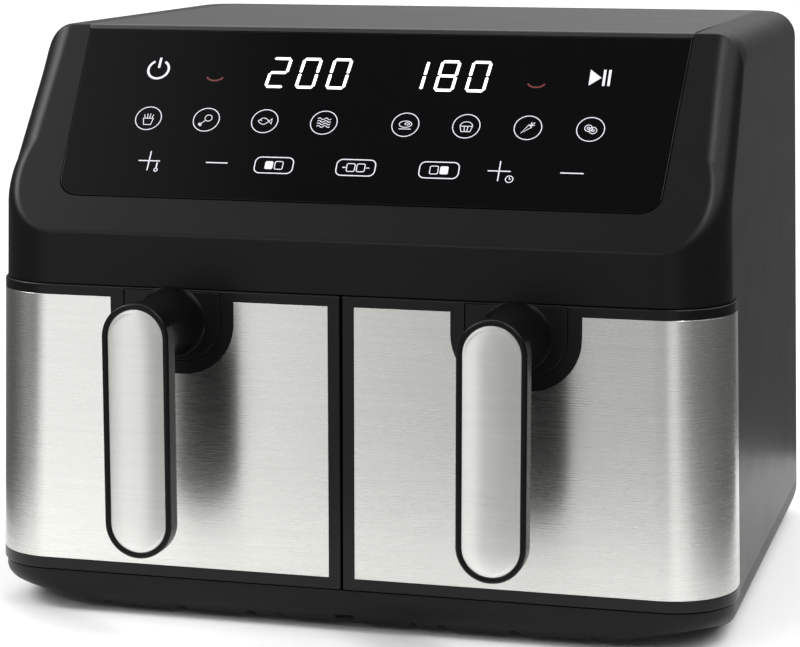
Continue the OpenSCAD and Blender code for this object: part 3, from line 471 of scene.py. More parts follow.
class Workshop:
    """Makes, cuts and finishes mesh objects, and puts them on their bodies."""

    def mesh(self, name: str, points: np.ndarray, faces: list) -> bpy.types.Object:
        """A mesh object whose faces point outwards, its doubled points merged.

        Args:
            name: the object's name.
            points: points in millimetres, any shape that ends in 3.
            faces: lists of point numbers.

        Returns:
            The object.
        """
        data = bpy.data.meshes.new(name)
        data.from_pydata((points.reshape(-1, 3) * MM).tolist(), [], faces)
        shape = bmesh.new()
        shape.from_mesh(data)
        bmesh.ops.remove_doubles(shape, verts=shape.verts, dist=1e-7)
        bmesh.ops.recalc_face_normals(shape, faces=shape.faces)
        shape.to_mesh(data)
        shape.free()
        made = bpy.data.objects.new(name, data)
        bpy.context.scene.collection.objects.link(made)
        return made

    def loft(self, name: str, rows: np.ndarray) -> bpy.types.Object:
        """A closed solid through rows of points, with a flat cap on its first and last row.

        Args:
            name: the object's name.
            rows: points in millimetres, shape (rows, points in a row, 3).

        Returns:
            The object.
        """
        count, around = rows.shape[:2]
        faces = ring_faces(count, around).tolist()
        faces += [list(range(around))[::-1], list(range((count - 1) * around, count * around))]
        return self.mesh(name, rows, faces)

    def stack(self, name: str, rect: Rect, levels: list[tuple[float, float]], axis: int = 2,
              steps: int = 10) -> bpy.types.Object:
        """A solid whose outline is a rectangle, drawn in by each level's inset.

        Args:
            name: the object's name.
            rect: the outline, in X and Y, or in X and Z if axis is 1.
            levels: (place along the axis, inset) pairs.
            axis: 2 to build along Z, 1 to build along Y.
            steps: steps in each round corner.

        Returns:
            The object.
        """
        rows = []
        for place, inset in levels:
            loop = rect.grown(-inset).loop(steps)
            rows.append(np.insert(loop, axis, place, axis=1))
        return self.loft(name, np.array(rows))

    def box(self, low: tuple, high: tuple) -> bpy.types.Object:
        """A plain box between two corners, used as a cutter."""
        return self.stack("cutter", Rect(low[0], low[1], high[0], high[1], (0.001,) * 4),
                          [(low[2], 0), (high[2], 0)], steps=1)

    def combine(self, body: bpy.types.Object, tools: list, how: str = "DIFFERENCE") -> bpy.types.Object:
        """Cuts the tools from a body, or joins or intersects them with it, and removes them.

        Args:
            body: the object that is kept.
            tools: the objects that are used up.
            how: DIFFERENCE, UNION or INTERSECT.

        Returns:
            The body, with its new mesh.
        """
        for tool in tools:
            step = body.modifiers.new("combine", "BOOLEAN")
            step.object, step.operation, step.solver = tool, how, "MANIFOLD"
            bpy.context.view_layer.update()
            done = bpy.data.meshes.new_from_object(body.evaluated_get(bpy.context.evaluated_depsgraph_get()))
            body.modifiers.clear()
            body.data = done
            bpy.data.objects.remove(tool)
        return body

    def copy_of(self, node: str, name: str) -> bpy.types.Object:
        """A merged copy of a CAD node, its flat faces made whole.

        Args:
            node: the CAD node's name.
            name: the copy's name.

        Returns:
            The copy.
        """
        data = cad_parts[node].data.copy()
        shape = bmesh.new()
        shape.from_mesh(data)
        bmesh.ops.remove_doubles(shape, verts=shape.verts, dist=2e-6)
        bmesh.ops.dissolve_limit(shape, angle_limit=math.radians(0.5), verts=shape.verts, edges=shape.edges)
        shape.to_mesh(data)
        shape.free()
        made = bpy.data.objects.new(name, data)
        bpy.context.scene.collection.objects.link(made)
        return made

    def smooth(self, piece: bpy.types.Object, edge: float = 0.0, angle: float = 35.0) -> bpy.types.Object:
        """Shades a piece smoothly, its flat faces kept flat, and rounds its edges if edge is given.

        Args:
            piece: the object.
            edge: the width of the rounding, in millimetres.
            angle: the least angle of an edge that counts as an edge, in degrees.

        Returns:
            The same object.
        """
        piece.data.shade_smooth()
        if edge:
            soft = piece.modifiers.new("edges", "BEVEL")
            soft.width, soft.segments, soft.limit_method = edge * MM, 2, "ANGLE"
            soft.angle_limit, soft.use_clamp_overlap = math.radians(angle), True
        else:
            piece.data.set_sharp_from_angle(angle=math.radians(angle))
        flat = piece.modifiers.new("flat", "WEIGHTED_NORMAL")
        flat.keep_sharp = not edge
        return piece

    def fit(self, piece: bpy.types.Object, body: str, slot: str, finish: Finish,
            *nodes: str) -> bpy.types.Object:
        """Dresses a piece, puts it on its body and lets it stand for CAD nodes.

        Args:
            piece: the object.
            body: the CAD body that it rides on.
            slot: the record's material slot; not used.
            finish: what it is made of.
            nodes: the CAD nodes that it replaces.

        Returns:
            The same object.
        """
        piece.data.materials.clear()
        piece.data.materials.append(finish.material())
        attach(piece, body)
        if nodes:
            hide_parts(*nodes)
        log.info("%s: %d faces on %s", piece.name, len(piece.data.polygons), body)
        return piece


SHOP = Workshop()


def corners(node: str) -> tuple[np.ndarray, np.ndarray]:
    """Lowest and highest corner of a CAD node, in millimetres."""
    low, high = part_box(node)
    return np.array(low) / MM, np.array(high) / MM


# ------------------------------------------------------------------ body


@dataclass(frozen=True)
class BodyForm:
    """The leaning, round-cornered block under a sloping roof that the housing and drawers share."""

    half_width: float
    front: float
    rear: float
    low: float
    top: float
    crease: float
    draft: float = 1.7
    slope: float = 51.83
    front_corner: float = 34.0
    rear_corner: float = 30.0
    slope_edge: float = 14.0
    crease_edge: float = 4.5
    top_edge: float = 14.0
    rear_edge: float = 16.0
    ridge_radius: float = 2.5

    def side(self, z: float | np.ndarray) -> float | np.ndarray:
        """Half width at height z, less by the draft's tangent times the height."""
        return self.half_width - math.tan(math.radians(self.draft)) * (z - self.low)

    @property
    def ridge(self) -> float:
        """Where the slope meets the flat top, along Y."""
        return self.front + (self.top - self.crease) / math.tan(math.radians(self.slope))

    def shrunk(self, t: float) -> "BodyForm":
        """The same form with every face moved inwards by t."""
        a = math.radians(self.slope)
        return replace(self, half_width=self.half_width - t, front=self.front + t, rear=self.rear - t,
                       top=self.top - t, crease=self.crease + t * math.tan(a) - t / math.cos(a),
                       front_corner=self.front_corner - t, rear_corner=self.rear_corner - t,
                       slope_edge=self.slope_edge - t, crease_edge=max(0.4, self.crease_edge - t),
                       top_edge=self.top_edge - t, rear_edge=self.rear_edge - t,
                       ridge_radius=max(0.3, self.ridge_radius - t))

    def plan(self) -> tuple[np.ndarray, np.ndarray, np.ndarray]:
        """Right half of the outline at the base, from the front's middle to the back's middle.

        Returns:
            Points, outward normals, and how much of the lean each point takes, which is all of it
            on the sides and grows evenly from the middle along the front and back.
        """
        w, r, q, ridge = self.half_width, self.front_corner, self.rear_corner, self.ridge
        fx = np.linspace(0, w - r, 8)[:-1]
        bx = np.linspace(w - q, 0, 8)[1:]
        a, b = np.radians(np.linspace(-90, 0, 25)), np.radians(np.linspace(0, 90, 17))
        ys = np.concatenate([
            np.linspace(self.front + r, ridge - 16, 5)[1:-1], np.linspace(ridge - 16, ridge - 1.4, 8),
            ridge + np.linspace(-1.1, 1.2, 6), np.linspace(ridge + 1.5, ridge + 20, 9),
            np.linspace(ridge + 20, self.rear - q, 5)[1:-1]])
        x = np.concatenate([fx, w - r + r * np.cos(a), np.full(len(ys), w), w - q + q * np.cos(b), bx])
        y = np.concatenate([np.full(len(fx), self.front), self.front + r + r * np.sin(a), ys,
                            self.rear - q + q * np.sin(b), np.full(len(bx), self.rear)])
        ang = np.concatenate([np.full(len(fx), a[0]), a, np.zeros(len(ys)), b, np.full(len(bx), b[-1])])
        lean = np.minimum(1.0, x / np.where(y < ridge, w - r, w - q))
        return np.stack([x, y], -1), np.stack([np.cos(ang), np.sin(ang)], -1), lean

    def roof(self, y: np.ndarray) -> tuple[np.ndarray, np.ndarray]:
        """The roof's profile: the slope, a small arc over the ridge, then the flat top.

        Args:
            y: places along Y.

        Returns:
            The roof's height at each place, and its tilt towards the front in radians.
        """
        a, r = math.radians(self.slope), self.ridge_radius
        centre = self.ridge + r * math.tan(a / 2)
        tilt = np.arcsin(np.clip((centre - y) / r, 0, math.sin(a)))
        arc = self.top - r + r * np.cos(tilt)
        line = self.crease + (y - self.front) * math.tan(a)
        return np.where(y < centre - r * math.sin(a), line, arc), tilt

    def ball(self, n: np.ndarray, tilt: float, radius: np.ndarray) -> tuple[np.ndarray, np.ndarray, np.ndarray]:
        """How far a ball of that radius, rolled along the edge of wall and roof, touches each.

        With both normals known, the ball touches at the radius times the tangent of half their
        angle from the edge; that is then measured straight down the wall and straight in.

        Args:
            n: the wall's outward normals in plan.
            tilt: the roof's tilt towards the front, in radians.
            radius: the ball's radius at each point.

        Returns:
            The distance down the wall, the distance along the roof, and the arc's conic weight.
        """
        wall = np.concatenate([n, np.zeros((len(n), 1))], 1)
        roof = np.array([0.0, -math.sin(tilt), math.cos(tilt)])
        turn = np.arccos(np.clip(wall @ roof, -1, 1))
        edge = np.cross(wall, roof)
        edge /= np.linalg.norm(edge, axis=1, keepdims=True)
        down, along = np.abs(np.cross(edge, wall)[:, 2]), np.cross(edge, roof)
        inward = np.concatenate([-n, (-n[:, 1] * math.tan(tilt))[:, None]], 1)
        inward /= np.linalg.norm(inward, axis=1, keepdims=True)
        touch = radius * np.tan(turn / 2)
        return touch / down, touch / np.abs(np.sum(along * inward, 1)), np.cos(turn / 2)

    def solid(self, name: str, low: float) -> bpy.types.Object:
        """The whole form as a closed solid from height low upwards.

        Each plan point carries a line up the wall, a conic arc over the edge and a point on the
        roof; the roof is closed by flat faces on both sides of the ridge's strips.

        Args:
            name: the object's name.
            low: where it starts.

        Returns:
            The object.
        """
        p, n, lean = self.plan()
        z_edge, tilt = self.roof(p[:, 1])
        blend = np.clip((p[:, 1] - self.ridge + 16) / 36, 0, 1)
        blend = blend * blend * (3 - 2 * blend)
        top_r = self.top_edge + (self.rear_edge - self.top_edge) * np.clip(n[:, 1], 0, 1) ** 2
        front_r = self.crease_edge + (self.slope_edge - self.crease_edge) * np.clip(n[:, 0], 0, 1) ** 2
        slope_side = self.ball(n, math.radians(self.slope), front_r)
        flat_side = self.ball(n, 0.0, top_r)
        down, along, weight = ((1 - blend) * s + blend * f for s, f in zip(slope_side, flat_side))

        def wall(z: np.ndarray) -> np.ndarray:
            """Points of the leaning wall at heights z."""
            share = np.tan(math.radians(self.draft)) * (z - self.low)
            return np.stack([p[:, 0] - share * lean, p[:, 1], z], -1)

        inward = np.concatenate([-n, (-n[:, 1] * np.tan(tilt))[:, None]], 1)
        inward /= np.linalg.norm(inward, axis=1, keepdims=True)
        corner = wall(z_edge)
        start, end = wall(z_edge - down), corner + along[:, None] * inward
        t = np.linspace(0, 1, 10)[:, None, None]
        w = weight[None, :, None]
        parts = (1 - t) ** 2, 2 * w * t * (1 - t), t ** 2
        arcs = (parts[0] * start + parts[1] * corner + parts[2] * end) / sum(parts)
        half = np.concatenate([wall(np.full(len(p), low))[None], arcs])
        mirrored = half[:, -2:0:-1] * np.array([-1.0, 1.0, 1.0])
        grid = np.concatenate([half, mirrored], 1)
        count, around = grid.shape[:2]
        faces = ring_faces(count, around).tolist() + [list(range(around))[::-1]]
        last = (count - 1) * around
        near = np.nonzero(p[:, 1] < self.ridge - 1.2)[0][-1]
        far = np.nonzero(p[:, 1] > self.ridge + 1.4)[0][0]

        def left(i: int) -> int:
            """The last row's point that mirrors point i."""
            return last + (around - i) % around

        faces.append([last + i for i in range(near + 1)] + [left(i) for i in range(near, 0, -1)])
        faces += [[last + i, last + i + 1, left(i + 1), left(i)] for i in range(near, far)]
        faces.append([last + i for i in range(far, len(p))] + [left(i) for i in range(len(p) - 2, far - 1, -1)])
        return SHOP.mesh(name, grid, faces)


@dataclass(frozen=True)
class Slope:
    """The panel's own flat frame: x across, v up the slope from the crease, w out of the panel."""

    form: BodyForm

    def place(self, x: np.ndarray, v: np.ndarray, w: np.ndarray | float) -> np.ndarray:
        """Turns points in the panel's frame into points in the fryer's.

        Args:
            x: places across.
            v: places up the slope.
            w: heights out of the panel.

        Returns:
            Points, shape (..., 3).
        """
        a = math.radians(self.form.slope)
        w = np.broadcast_to(w, np.shape(x))
        return np.stack([x, self.form.front + v * math.cos(a) - w * math.sin(a),
                         self.form.crease + v * math.sin(a) + w * math.cos(a)], -1)

    @property
    def length(self) -> float:
        """From the crease to the ridge, along the slope."""
        return (self.form.top - self.form.crease) / math.sin(math.radians(self.form.slope))


@dataclass
class Housing:
    """The one-piece outer shell, with the seats of the panel, the covers and the drawers."""

    form: BodyForm
    wall: float = 2.8
    seam: float = 0.3
    back_cover: tuple = field(default_factory=lambda: corners("rear_cover"))

    def build(self, glass: "TouchPanel", cover: "TopCover") -> None:
        """Cuts the inside, the seats and the openings from the outer form.

        Args:
            glass: the panel whose seat is cut.
            cover: the top cover whose seat is cut.
        """
        _, drawer_high = corners("right_drawer_shell")
        gap = 0.5
        shell = self.form.solid("housing_shell", self.form.low)
        opening = SHOP.box((-300, -300, 0), (300, drawer_high[1] + 2 * gap, drawer_high[2] + gap))
        low, high = self.back_cover
        back = SHOP.stack("cutter", Rect(low[0], low[2], high[0], high[2], (1.0,) * 4).grown(self.seam),
                          [(high[1] + 9, -1.0), (high[1] + 0.05, -0.35), (high[1] - 0.4, 0), (high[1] - 12, 0)],
                          axis=1, steps=3)
        inside = self.form.shrunk(self.wall).solid("inside", self.form.low - 5)
        SHOP.combine(shell, [inside, opening, cover.cutter(self.seam), glass.cutter(self.seam), back])
        beam = SHOP.combine(SHOP.box((-190, self.form.front + 0.3, drawer_high[2] + gap),
                                     (190, drawer_high[1] + 1.7, drawer_high[2] + gap + 3)),
                            [self.form.shrunk(0.3).solid("inside", 0)], "INTERSECT")
        post = SHOP.box((-3, drawer_high[1] + 2 * gap, self.form.low),
                        (3, drawer_high[1] + 2 * gap + 4.5, drawer_high[2] + 3))
        SHOP.combine(shell, [beam, post], "UNION")
        SHOP.smooth(shell)
        SHOP.fit(shell, "body", "housing_abs", HOUSING_ABS, "housing")


@dataclass
class TopCover:
    """The lighter panel let into the top, folded over the ridge above the glass."""

    form: BodyForm
    lip: float = 3.4
    thickness: float = 3.0
    size: tuple = field(default_factory=lambda: corners("top_cover"))

    def profile(self, g: float, rise: float = 0.0) -> np.ndarray:
        """Side outline in Y and Z: lip, arc over the ridge, top and underside.

        Args:
            g: how far it is grown.
            rise: how far its top is raised.

        Returns:
            Points in Y and Z.
        """
        slope, high = Slope(self.form), self.size[1]
        centre = self.form.ridge + self.form.ridge_radius * math.tan(math.radians(self.form.slope) / 2)
        tilt = np.radians(np.linspace(self.form.slope, 0, 7))
        v0 = slope.length - self.lip + 0.3 - 2 * g
        r = self.form.ridge_radius + rise
        foot = slope.place(np.zeros(2), np.array([v0, v0]), np.array([-0.95 - g, rise]))[:, 1:]
        arc = np.stack([centre - r * np.sin(tilt),
                        self.form.top - self.form.ridge_radius + r * np.cos(tilt)], -1)
        rest = np.array([[high[1] + g, self.form.top + rise],
                         [high[1] + g, self.form.top - self.thickness - g]])
        return np.concatenate([foot, arc, rest])

    def prism(self, name: str, g: float, rise: float) -> bpy.types.Object:
        """The side outline carried straight across, from side to side.

        Args:
            name: the object's name.
            g: how far the outline is grown.
            rise: how far its top is raised.

        Returns:
            The object.
        """
        outline = self.profile(g, rise)
        ends = corners("control_glass")[1][0], self.size[1][0]
        half = np.interp(outline[:, 0], [self.form.ridge - 1.5, self.form.ridge + 1.0], ends) + g
        rows = [np.insert(outline, 0, side * half, axis=1) for side in (-1, 1)]
        return SHOP.loft(name, np.array(rows))

    def cutter(self, seam: float) -> bpy.types.Object:
        """The space to cut from the housing for the cover."""
        return self.prism("cutter", seam, 3.0)

    def build(self) -> None:
        """The cover with softly rounded edges."""
        SHOP.fit(SHOP.smooth(self.prism("top_cover_panel", 0.0, 0.0), 0.35), "body", "cover_abs", COVER_ABS,
                 "top_cover")


class Program(Enum):
    """The pictures on the round keys, from left to right."""

    CHIPS = 0
    DRUMSTICK = 1
    FISH = 2
    RASHERS = 3
    ROAST = 4
    CAKE = 5
    CARROT = 6
    SLICES = 7

    def strokes(self) -> list[np.ndarray]:
        """Lines of the picture inside a circle of radius 1.

        Returns:
            One array of points for each line.
        """
        t = np.linspace(0, 1, 13)
        turn = np.stack([np.cos(2 * np.pi * t), np.sin(2 * np.pi * t)], -1)
        dome = np.stack([np.cos(np.pi * t), np.sin(np.pi * t)], -1)

        def line(*points: tuple[float, float]) -> np.ndarray:
            """Straight stretches through the points."""
            return np.array(points, float)

        wave = np.stack([t - 0.5, 0.09 * np.sin(4 * np.pi * t)], -1)
        return {
            Program.CHIPS: [line((-.42, 0), (-.3, -.6), (.3, -.6), (.42, 0), (-.42, 0))]
            + [line((x, 0), (x * 1.25, .5 - abs(x) * .5)) for x in (-.3, -.1, .1, .3)],
            Program.DRUMSTICK: [turn * .3 + [.16, .16], line((-.06, -.06), (-.42, -.42)),
                                turn * .09 + [-.5, -.42], turn * .09 + [-.42, -.5]],
            Program.FISH: [np.stack([.9 * t - .55, .3 * np.sin(np.pi * t)], -1),
                           np.stack([.9 * t - .55, -.3 * np.sin(np.pi * t)], -1),
                           line((.35, 0), (.58, .24), (.58, -.24), (.35, 0)), turn * .03 + [-.3, .07]],
            Program.RASHERS: [wave * [1.1, 1] + [0, dy] for dy in (-.36, -.12, .12, .36)],
            Program.ROAST: [turn * [.52, .3] + [0, .05], turn * [.2, .1] + [.14, .08],
                            line((-.5, -.4), (.5, -.4))],
            Program.CAKE: [dome * [.5, .42],
                           line((-.5, 0), (-.36, -.5), (.36, -.5), (.5, 0), (-.5, 0)),
                           line((-.15, 0), (-.1, -.5)), line((.15, 0), (.1, -.5))],
            Program.CARROT: [line((-.5, -.5), (.05, .28), (.28, .05), (-.5, -.5)), line((.16, .16), (.5, .5)),
                             line((.16, .16), (.52, .26)), line((.16, .16), (.26, .52))],
            Program.SLICES: [turn * .3 + [-.18, .1], turn * .3 + [.2, -.1], turn * .1 + [-.18, .1],
                             turn * .1 + [.2, -.1]],
        }[self]


SEGMENTS = {"0": "abcdef", "1": "bc", "2": "abged", "8": "abcdefg"}


@dataclass
class TouchPanel:
    """The sloping glass with its printed keys and lit numerals."""

    form: BodyForm
    low_half: float = 156.0
    low_v: float = 22.0
    lip: float = 3.4
    corner: float = 11.0
    thickness: float = 2.2
    ink: float = 0.06
    line: float = 0.62
    digit: tuple[float, float] = (10.5, 18.9)
    digit_pitch: float = 16.3
    slant: float = 0.1
    segment: float = 0.78
    top_row: float = 99.5
    program_row: float = 69.2
    sign_row: float = 43.5
    key_row: float = 43.0
    numeral_row: float = 89.6
    lamp_row: float = 96.5
    end_key: float = 117.0
    programs: tuple = (-116, -84.4, -52.9, -21.4, 21.4, 52.9, 84.4, 116)
    plus_signs: tuple = (-110, 73.5)
    minus_signs: tuple = (-73.5, 110)
    key_pitch: float = 43.0
    size: tuple = field(default_factory=lambda: corners("control_glass"))
    points: list = field(default_factory=list)
    faces: list = field(default_factory=list)

    def outline(self, g: float) -> np.ndarray:
        """The glass in the panel's frame: slanting sides and two round lower corners.

        Args:
            g: how far it is grown.

        Returns:
            Points, as x and v.
        """
        slope = Slope(self.form)
        x0, x1, r = self.low_half + g, self.size[1][0] + g, self.corner + g
        v0, v1 = self.low_v - g, slope.length - self.lip + g
        a = np.radians(np.linspace(-90, 0, 13))
        right = np.stack([x0 - r + r * np.cos(a), v0 + r + r * np.sin(a)], -1)
        right = np.concatenate([right, [[x1, v1]]])
        return np.concatenate([right, right[::-1] * [-1, 1]])

    def plate(self, name: str, levels: list[tuple[float, float]]) -> bpy.types.Object:
        """A solid with the glass's outline.

        Args:
            name: the object's name.
            levels: (height over the panel, inset) pairs.

        Returns:
            The object.
        """
        rows = [Slope(self.form).place(*self.outline(-i).T, w) for w, i in levels]
        return SHOP.loft(name, np.array(rows))

    def cutter(self, seam: float) -> bpy.types.Object:
        """The space to cut from the housing for the glass, its mouth a little wider."""
        return self.plate("cutter", [(-self.thickness - 0.05, -seam), (-0.4, -seam), (0.05, -seam - 0.45),
                                     (9, -seam - 1)])

    def solid(self, loops: np.ndarray, closed: bool) -> None:
        """Keeps one mark, a bar of four-sided sections.

        Args:
            loops: the sections, shape (count, 4, 3).
            closed: whether the last section joins the first.
        """
        count = len(loops)
        base = sum(len(p) for p in self.points)
        rows = np.concatenate([loops, loops[:1]]) if closed else loops
        quads = ring_faces(len(rows), 4)
        quads = quads % (4 * count)
        self.points.append(loops.reshape(-1, 3))
        self.faces += (quads + base).tolist()
        if not closed:
            end = base + 4 * (count - 1)
            self.faces += [[base + k for k in range(4)], [end + k for k in (3, 2, 1, 0)]]

    def stroke(self, path: np.ndarray, centre: tuple[float, float], scale: float = 1.0,
               width: float | None = None) -> None:
        """One inked line of even width along a path.

        The path's normals, halved between neighbouring steps, carry it half a width to each side.

        Args:
            path: points, which end where they start if the line is closed.
            centre: the place of the path's origin on the panel.
            scale: millimetres for one unit of the path.
            width: the line's width in millimetres.
        """
        closed = bool(np.allclose(path[0], path[-1]))
        path = (path[:-1] if closed else path) * scale + np.array(centre)
        step = (np.roll(path, -1, 0) - path) if closed else np.diff(path, axis=0)
        step /= np.linalg.norm(step, axis=1, keepdims=True)
        before = np.roll(step, 1, 0) if closed else np.concatenate([step[:1], step])
        after = step if closed else np.concatenate([step, step[-1:]])
        normal = before + after
        normal = np.stack([-normal[:, 1], normal[:, 0]], -1)
        cosine = np.clip(np.sum(before * after, 1), -0.5, 1)
        normal /= np.linalg.norm(normal, axis=1, keepdims=True) * np.sqrt((1 + cosine) / 2)[:, None]
        half = (width or self.line) / 2
        a, b = path + normal * half, path - normal * half
        frame_of = Slope(self.form).place
        section = np.stack([frame_of(*a.T, 0.0), frame_of(*b.T, 0.0), frame_of(*b.T, self.ink),
                            frame_of(*a.T, self.ink)], 1)
        self.solid(section, closed)

    def patch(self, outline: np.ndarray) -> None:
        """One inked area.

        Args:
            outline: its outline on the panel, counter-clockwise.
        """
        base, count = sum(len(p) for p in self.points), len(outline)
        low, high = (Slope(self.form).place(*outline.T, w) for w in (0.0, self.ink))
        self.points.append(np.concatenate([low, high]))
        self.faces += (ring_faces(2, count) + base).tolist()
        self.faces += [[base + i for i in range(count)][::-1], [base + count + i for i in range(count)]]

    def numerals(self, text: str, right: float, low: float) -> None:
        """A row of slanted seven-segment numerals.

        Args:
            text: the digits.
            right: where the last one ends.
            low: the line that they stand on.
        """
        w, h = self.digit
        t = self.segment
        horizontal = np.array([[-w / 2 + t, 0], [-w / 2 + 2 * t, t], [w / 2 - 2 * t, t], [w / 2 - t, 0],
                               [w / 2 - 2 * t, -t], [-w / 2 + 2 * t, -t]])
        tall = h / 2 - t
        upright = np.array([[0, -tall / 2 + .35], [t, -tall / 2 + t], [t, tall / 2 - t], [0, tall / 2 - .35],
                            [-t, tall / 2 - t], [-t, -tall / 2 + t]])
        spots = {"a": (horizontal, 0, h - t), "d": (horizontal, 0, t), "g": (horizontal, 0, h / 2),
                 "b": (upright, w / 2 - t, h * .75 - t / 2), "c": (upright, w / 2 - t, h * .25 + t / 2),
                 "e": (upright, t - w / 2, h * .25 + t / 2), "f": (upright, t - w / 2, h * .75 - t / 2)}
        for place, digit in enumerate(text):
            cx = right - w / 2 - (len(text) - 1 - place) * self.digit_pitch
            for name in SEGMENTS[digit]:
                shape, dx, dz = spots[name]
                at = shape + [dx, dz]
                at = np.stack([at[:, 0] + at[:, 1] * self.slant - h * self.slant, at[:, 1]], -1)
                self.patch(at + [cx, low])

    def marks(self) -> None:
        """The printed keys: power, start, programs, plus and minus, and the drawers' keys."""
        t = np.linspace(0, 1, 25)
        turn = np.stack([np.cos(2 * np.pi * t), np.sin(2 * np.pi * t)], -1)
        a = np.radians(np.linspace(120, 420, 25))
        self.stroke(np.stack([np.cos(a), np.sin(a)], -1), (-self.end_key, self.top_row), 5.6, 1.25)
        self.stroke(np.array([[0, 1.0], [0, 7.4]]), (-self.end_key, self.top_row), 1.0, 1.25)
        start = [self.end_key, self.top_row + 0.3]
        self.patch(np.array([[-5.4, -4.8], [0.6, 0], [-5.4, 4.8]]) + start)
        for x in (2.0, 4.6):
            self.patch(np.array([[x - .65, -4.8], [x + .65, -4.8], [x + .65, 4.8], [x - .65, 4.8]]) + start)
        for program, x in zip(Program, self.programs):
            self.stroke(turn, (x, self.program_row), 7.0, 0.45)
            for path in program.strokes():
                self.stroke(path, (x, self.program_row), 6.4, 0.38)
        for x in (*self.plus_signs, *self.minus_signs):
            self.stroke(np.array([[-5.8, 0], [5.8, 0]]), (x, self.sign_row), 1.0, 0.6)
        for x in self.plus_signs:
            self.stroke(np.array([[0, -5.8], [0, 5.8]]), (x, self.sign_row), 1.0, 0.6)
        self.stroke(np.array([[0, 0], [0, 3.6]]), (-105.4, 39), 1.0, 0.7)
        self.stroke(turn, (-105.4, 38.2), 0.9, 0.5)
        self.stroke(turn, (79.2, 39), 1.9, 0.45)
        self.stroke(np.array([[0, 1.2], [0, 0], [.9, 0]]), (79.2, 39), 1.0, 0.4)

        def key(w: float, h: float, r: float) -> np.ndarray:
            """A closed round-cornered outline about its own middle."""
            loop = Rect(-w / 2, -h / 2, w / 2, h / 2, (r,) * 4).loop(5)
            return np.concatenate([loop, loop[:1]])

        # Each drawer's key shows two small squares with its own one filled; the middle key joins them.
        row, off = self.key_row, 2.6
        for x, filled in ((-self.key_pitch, -off), (0, None), (self.key_pitch, off)):
            self.stroke(key(20.2, 9.4, 3.0), (x, row), 1.0, 0.55)
            for dx in (-off, off):
                square = key(4.2, 4.6, 0.8)
                if dx == filled:
                    self.patch(square[:-1] + [x + dx, row])
                else:
                    self.stroke(square, (x + dx, row), 1.0, 0.45)
        for way in (-1, 1):
            self.stroke(np.array([[5.2 * way, 0], [7 * way, 0]]), (0, row), 1.0, 0.5)

    def ready(self, name: str, slot: str, finish: Finish) -> None:
        """Makes one piece of the marks kept so far.

        Args:
            name: the piece's name.
            slot: its material slot.
            finish: its ink.
        """
        piece = SHOP.mesh(name, np.concatenate(self.points), self.faces)
        SHOP.fit(piece, "body", slot, finish)
        self.points, self.faces = [], []

    def build(self) -> None:
        """The glass, then its marks, lamps and numerals."""
        edge = [(-self.thickness, 0.3), (-self.thickness + 0.3, 0), (-0.5, 0), (-0.28, 0.07), (-0.1, 0.25),
                (0, 0.5)]
        SHOP.fit(SHOP.smooth(self.plate("touch_glass", edge), angle=50), "body", "panel_glass", GLASS,
                 "control_glass")
        # The printed marks get a faint painted glow from their ink.
        self.marks()
        self.ready("panel_marks", "display", INK_WITH_PAINTED_GLOW)
        # Red lamp outlines, unlit; their faint glow is painted light.
        for x in (-85, 85):
            a = np.radians(np.linspace(200, 340, 13))
            self.stroke(np.stack([np.cos(a), 0.7 * np.sin(a)], -1), (x, self.lamp_row), 4.6, 0.9)
        self.ready("panel_lamps", "display", LAMP_WITH_PAINTED_GLOW)
        self.numerals("200", -12.4, self.numeral_row)
        self.numerals("180", 61.0, self.numeral_row)
        self.ready("panel_numerals", "display", DIGITS)


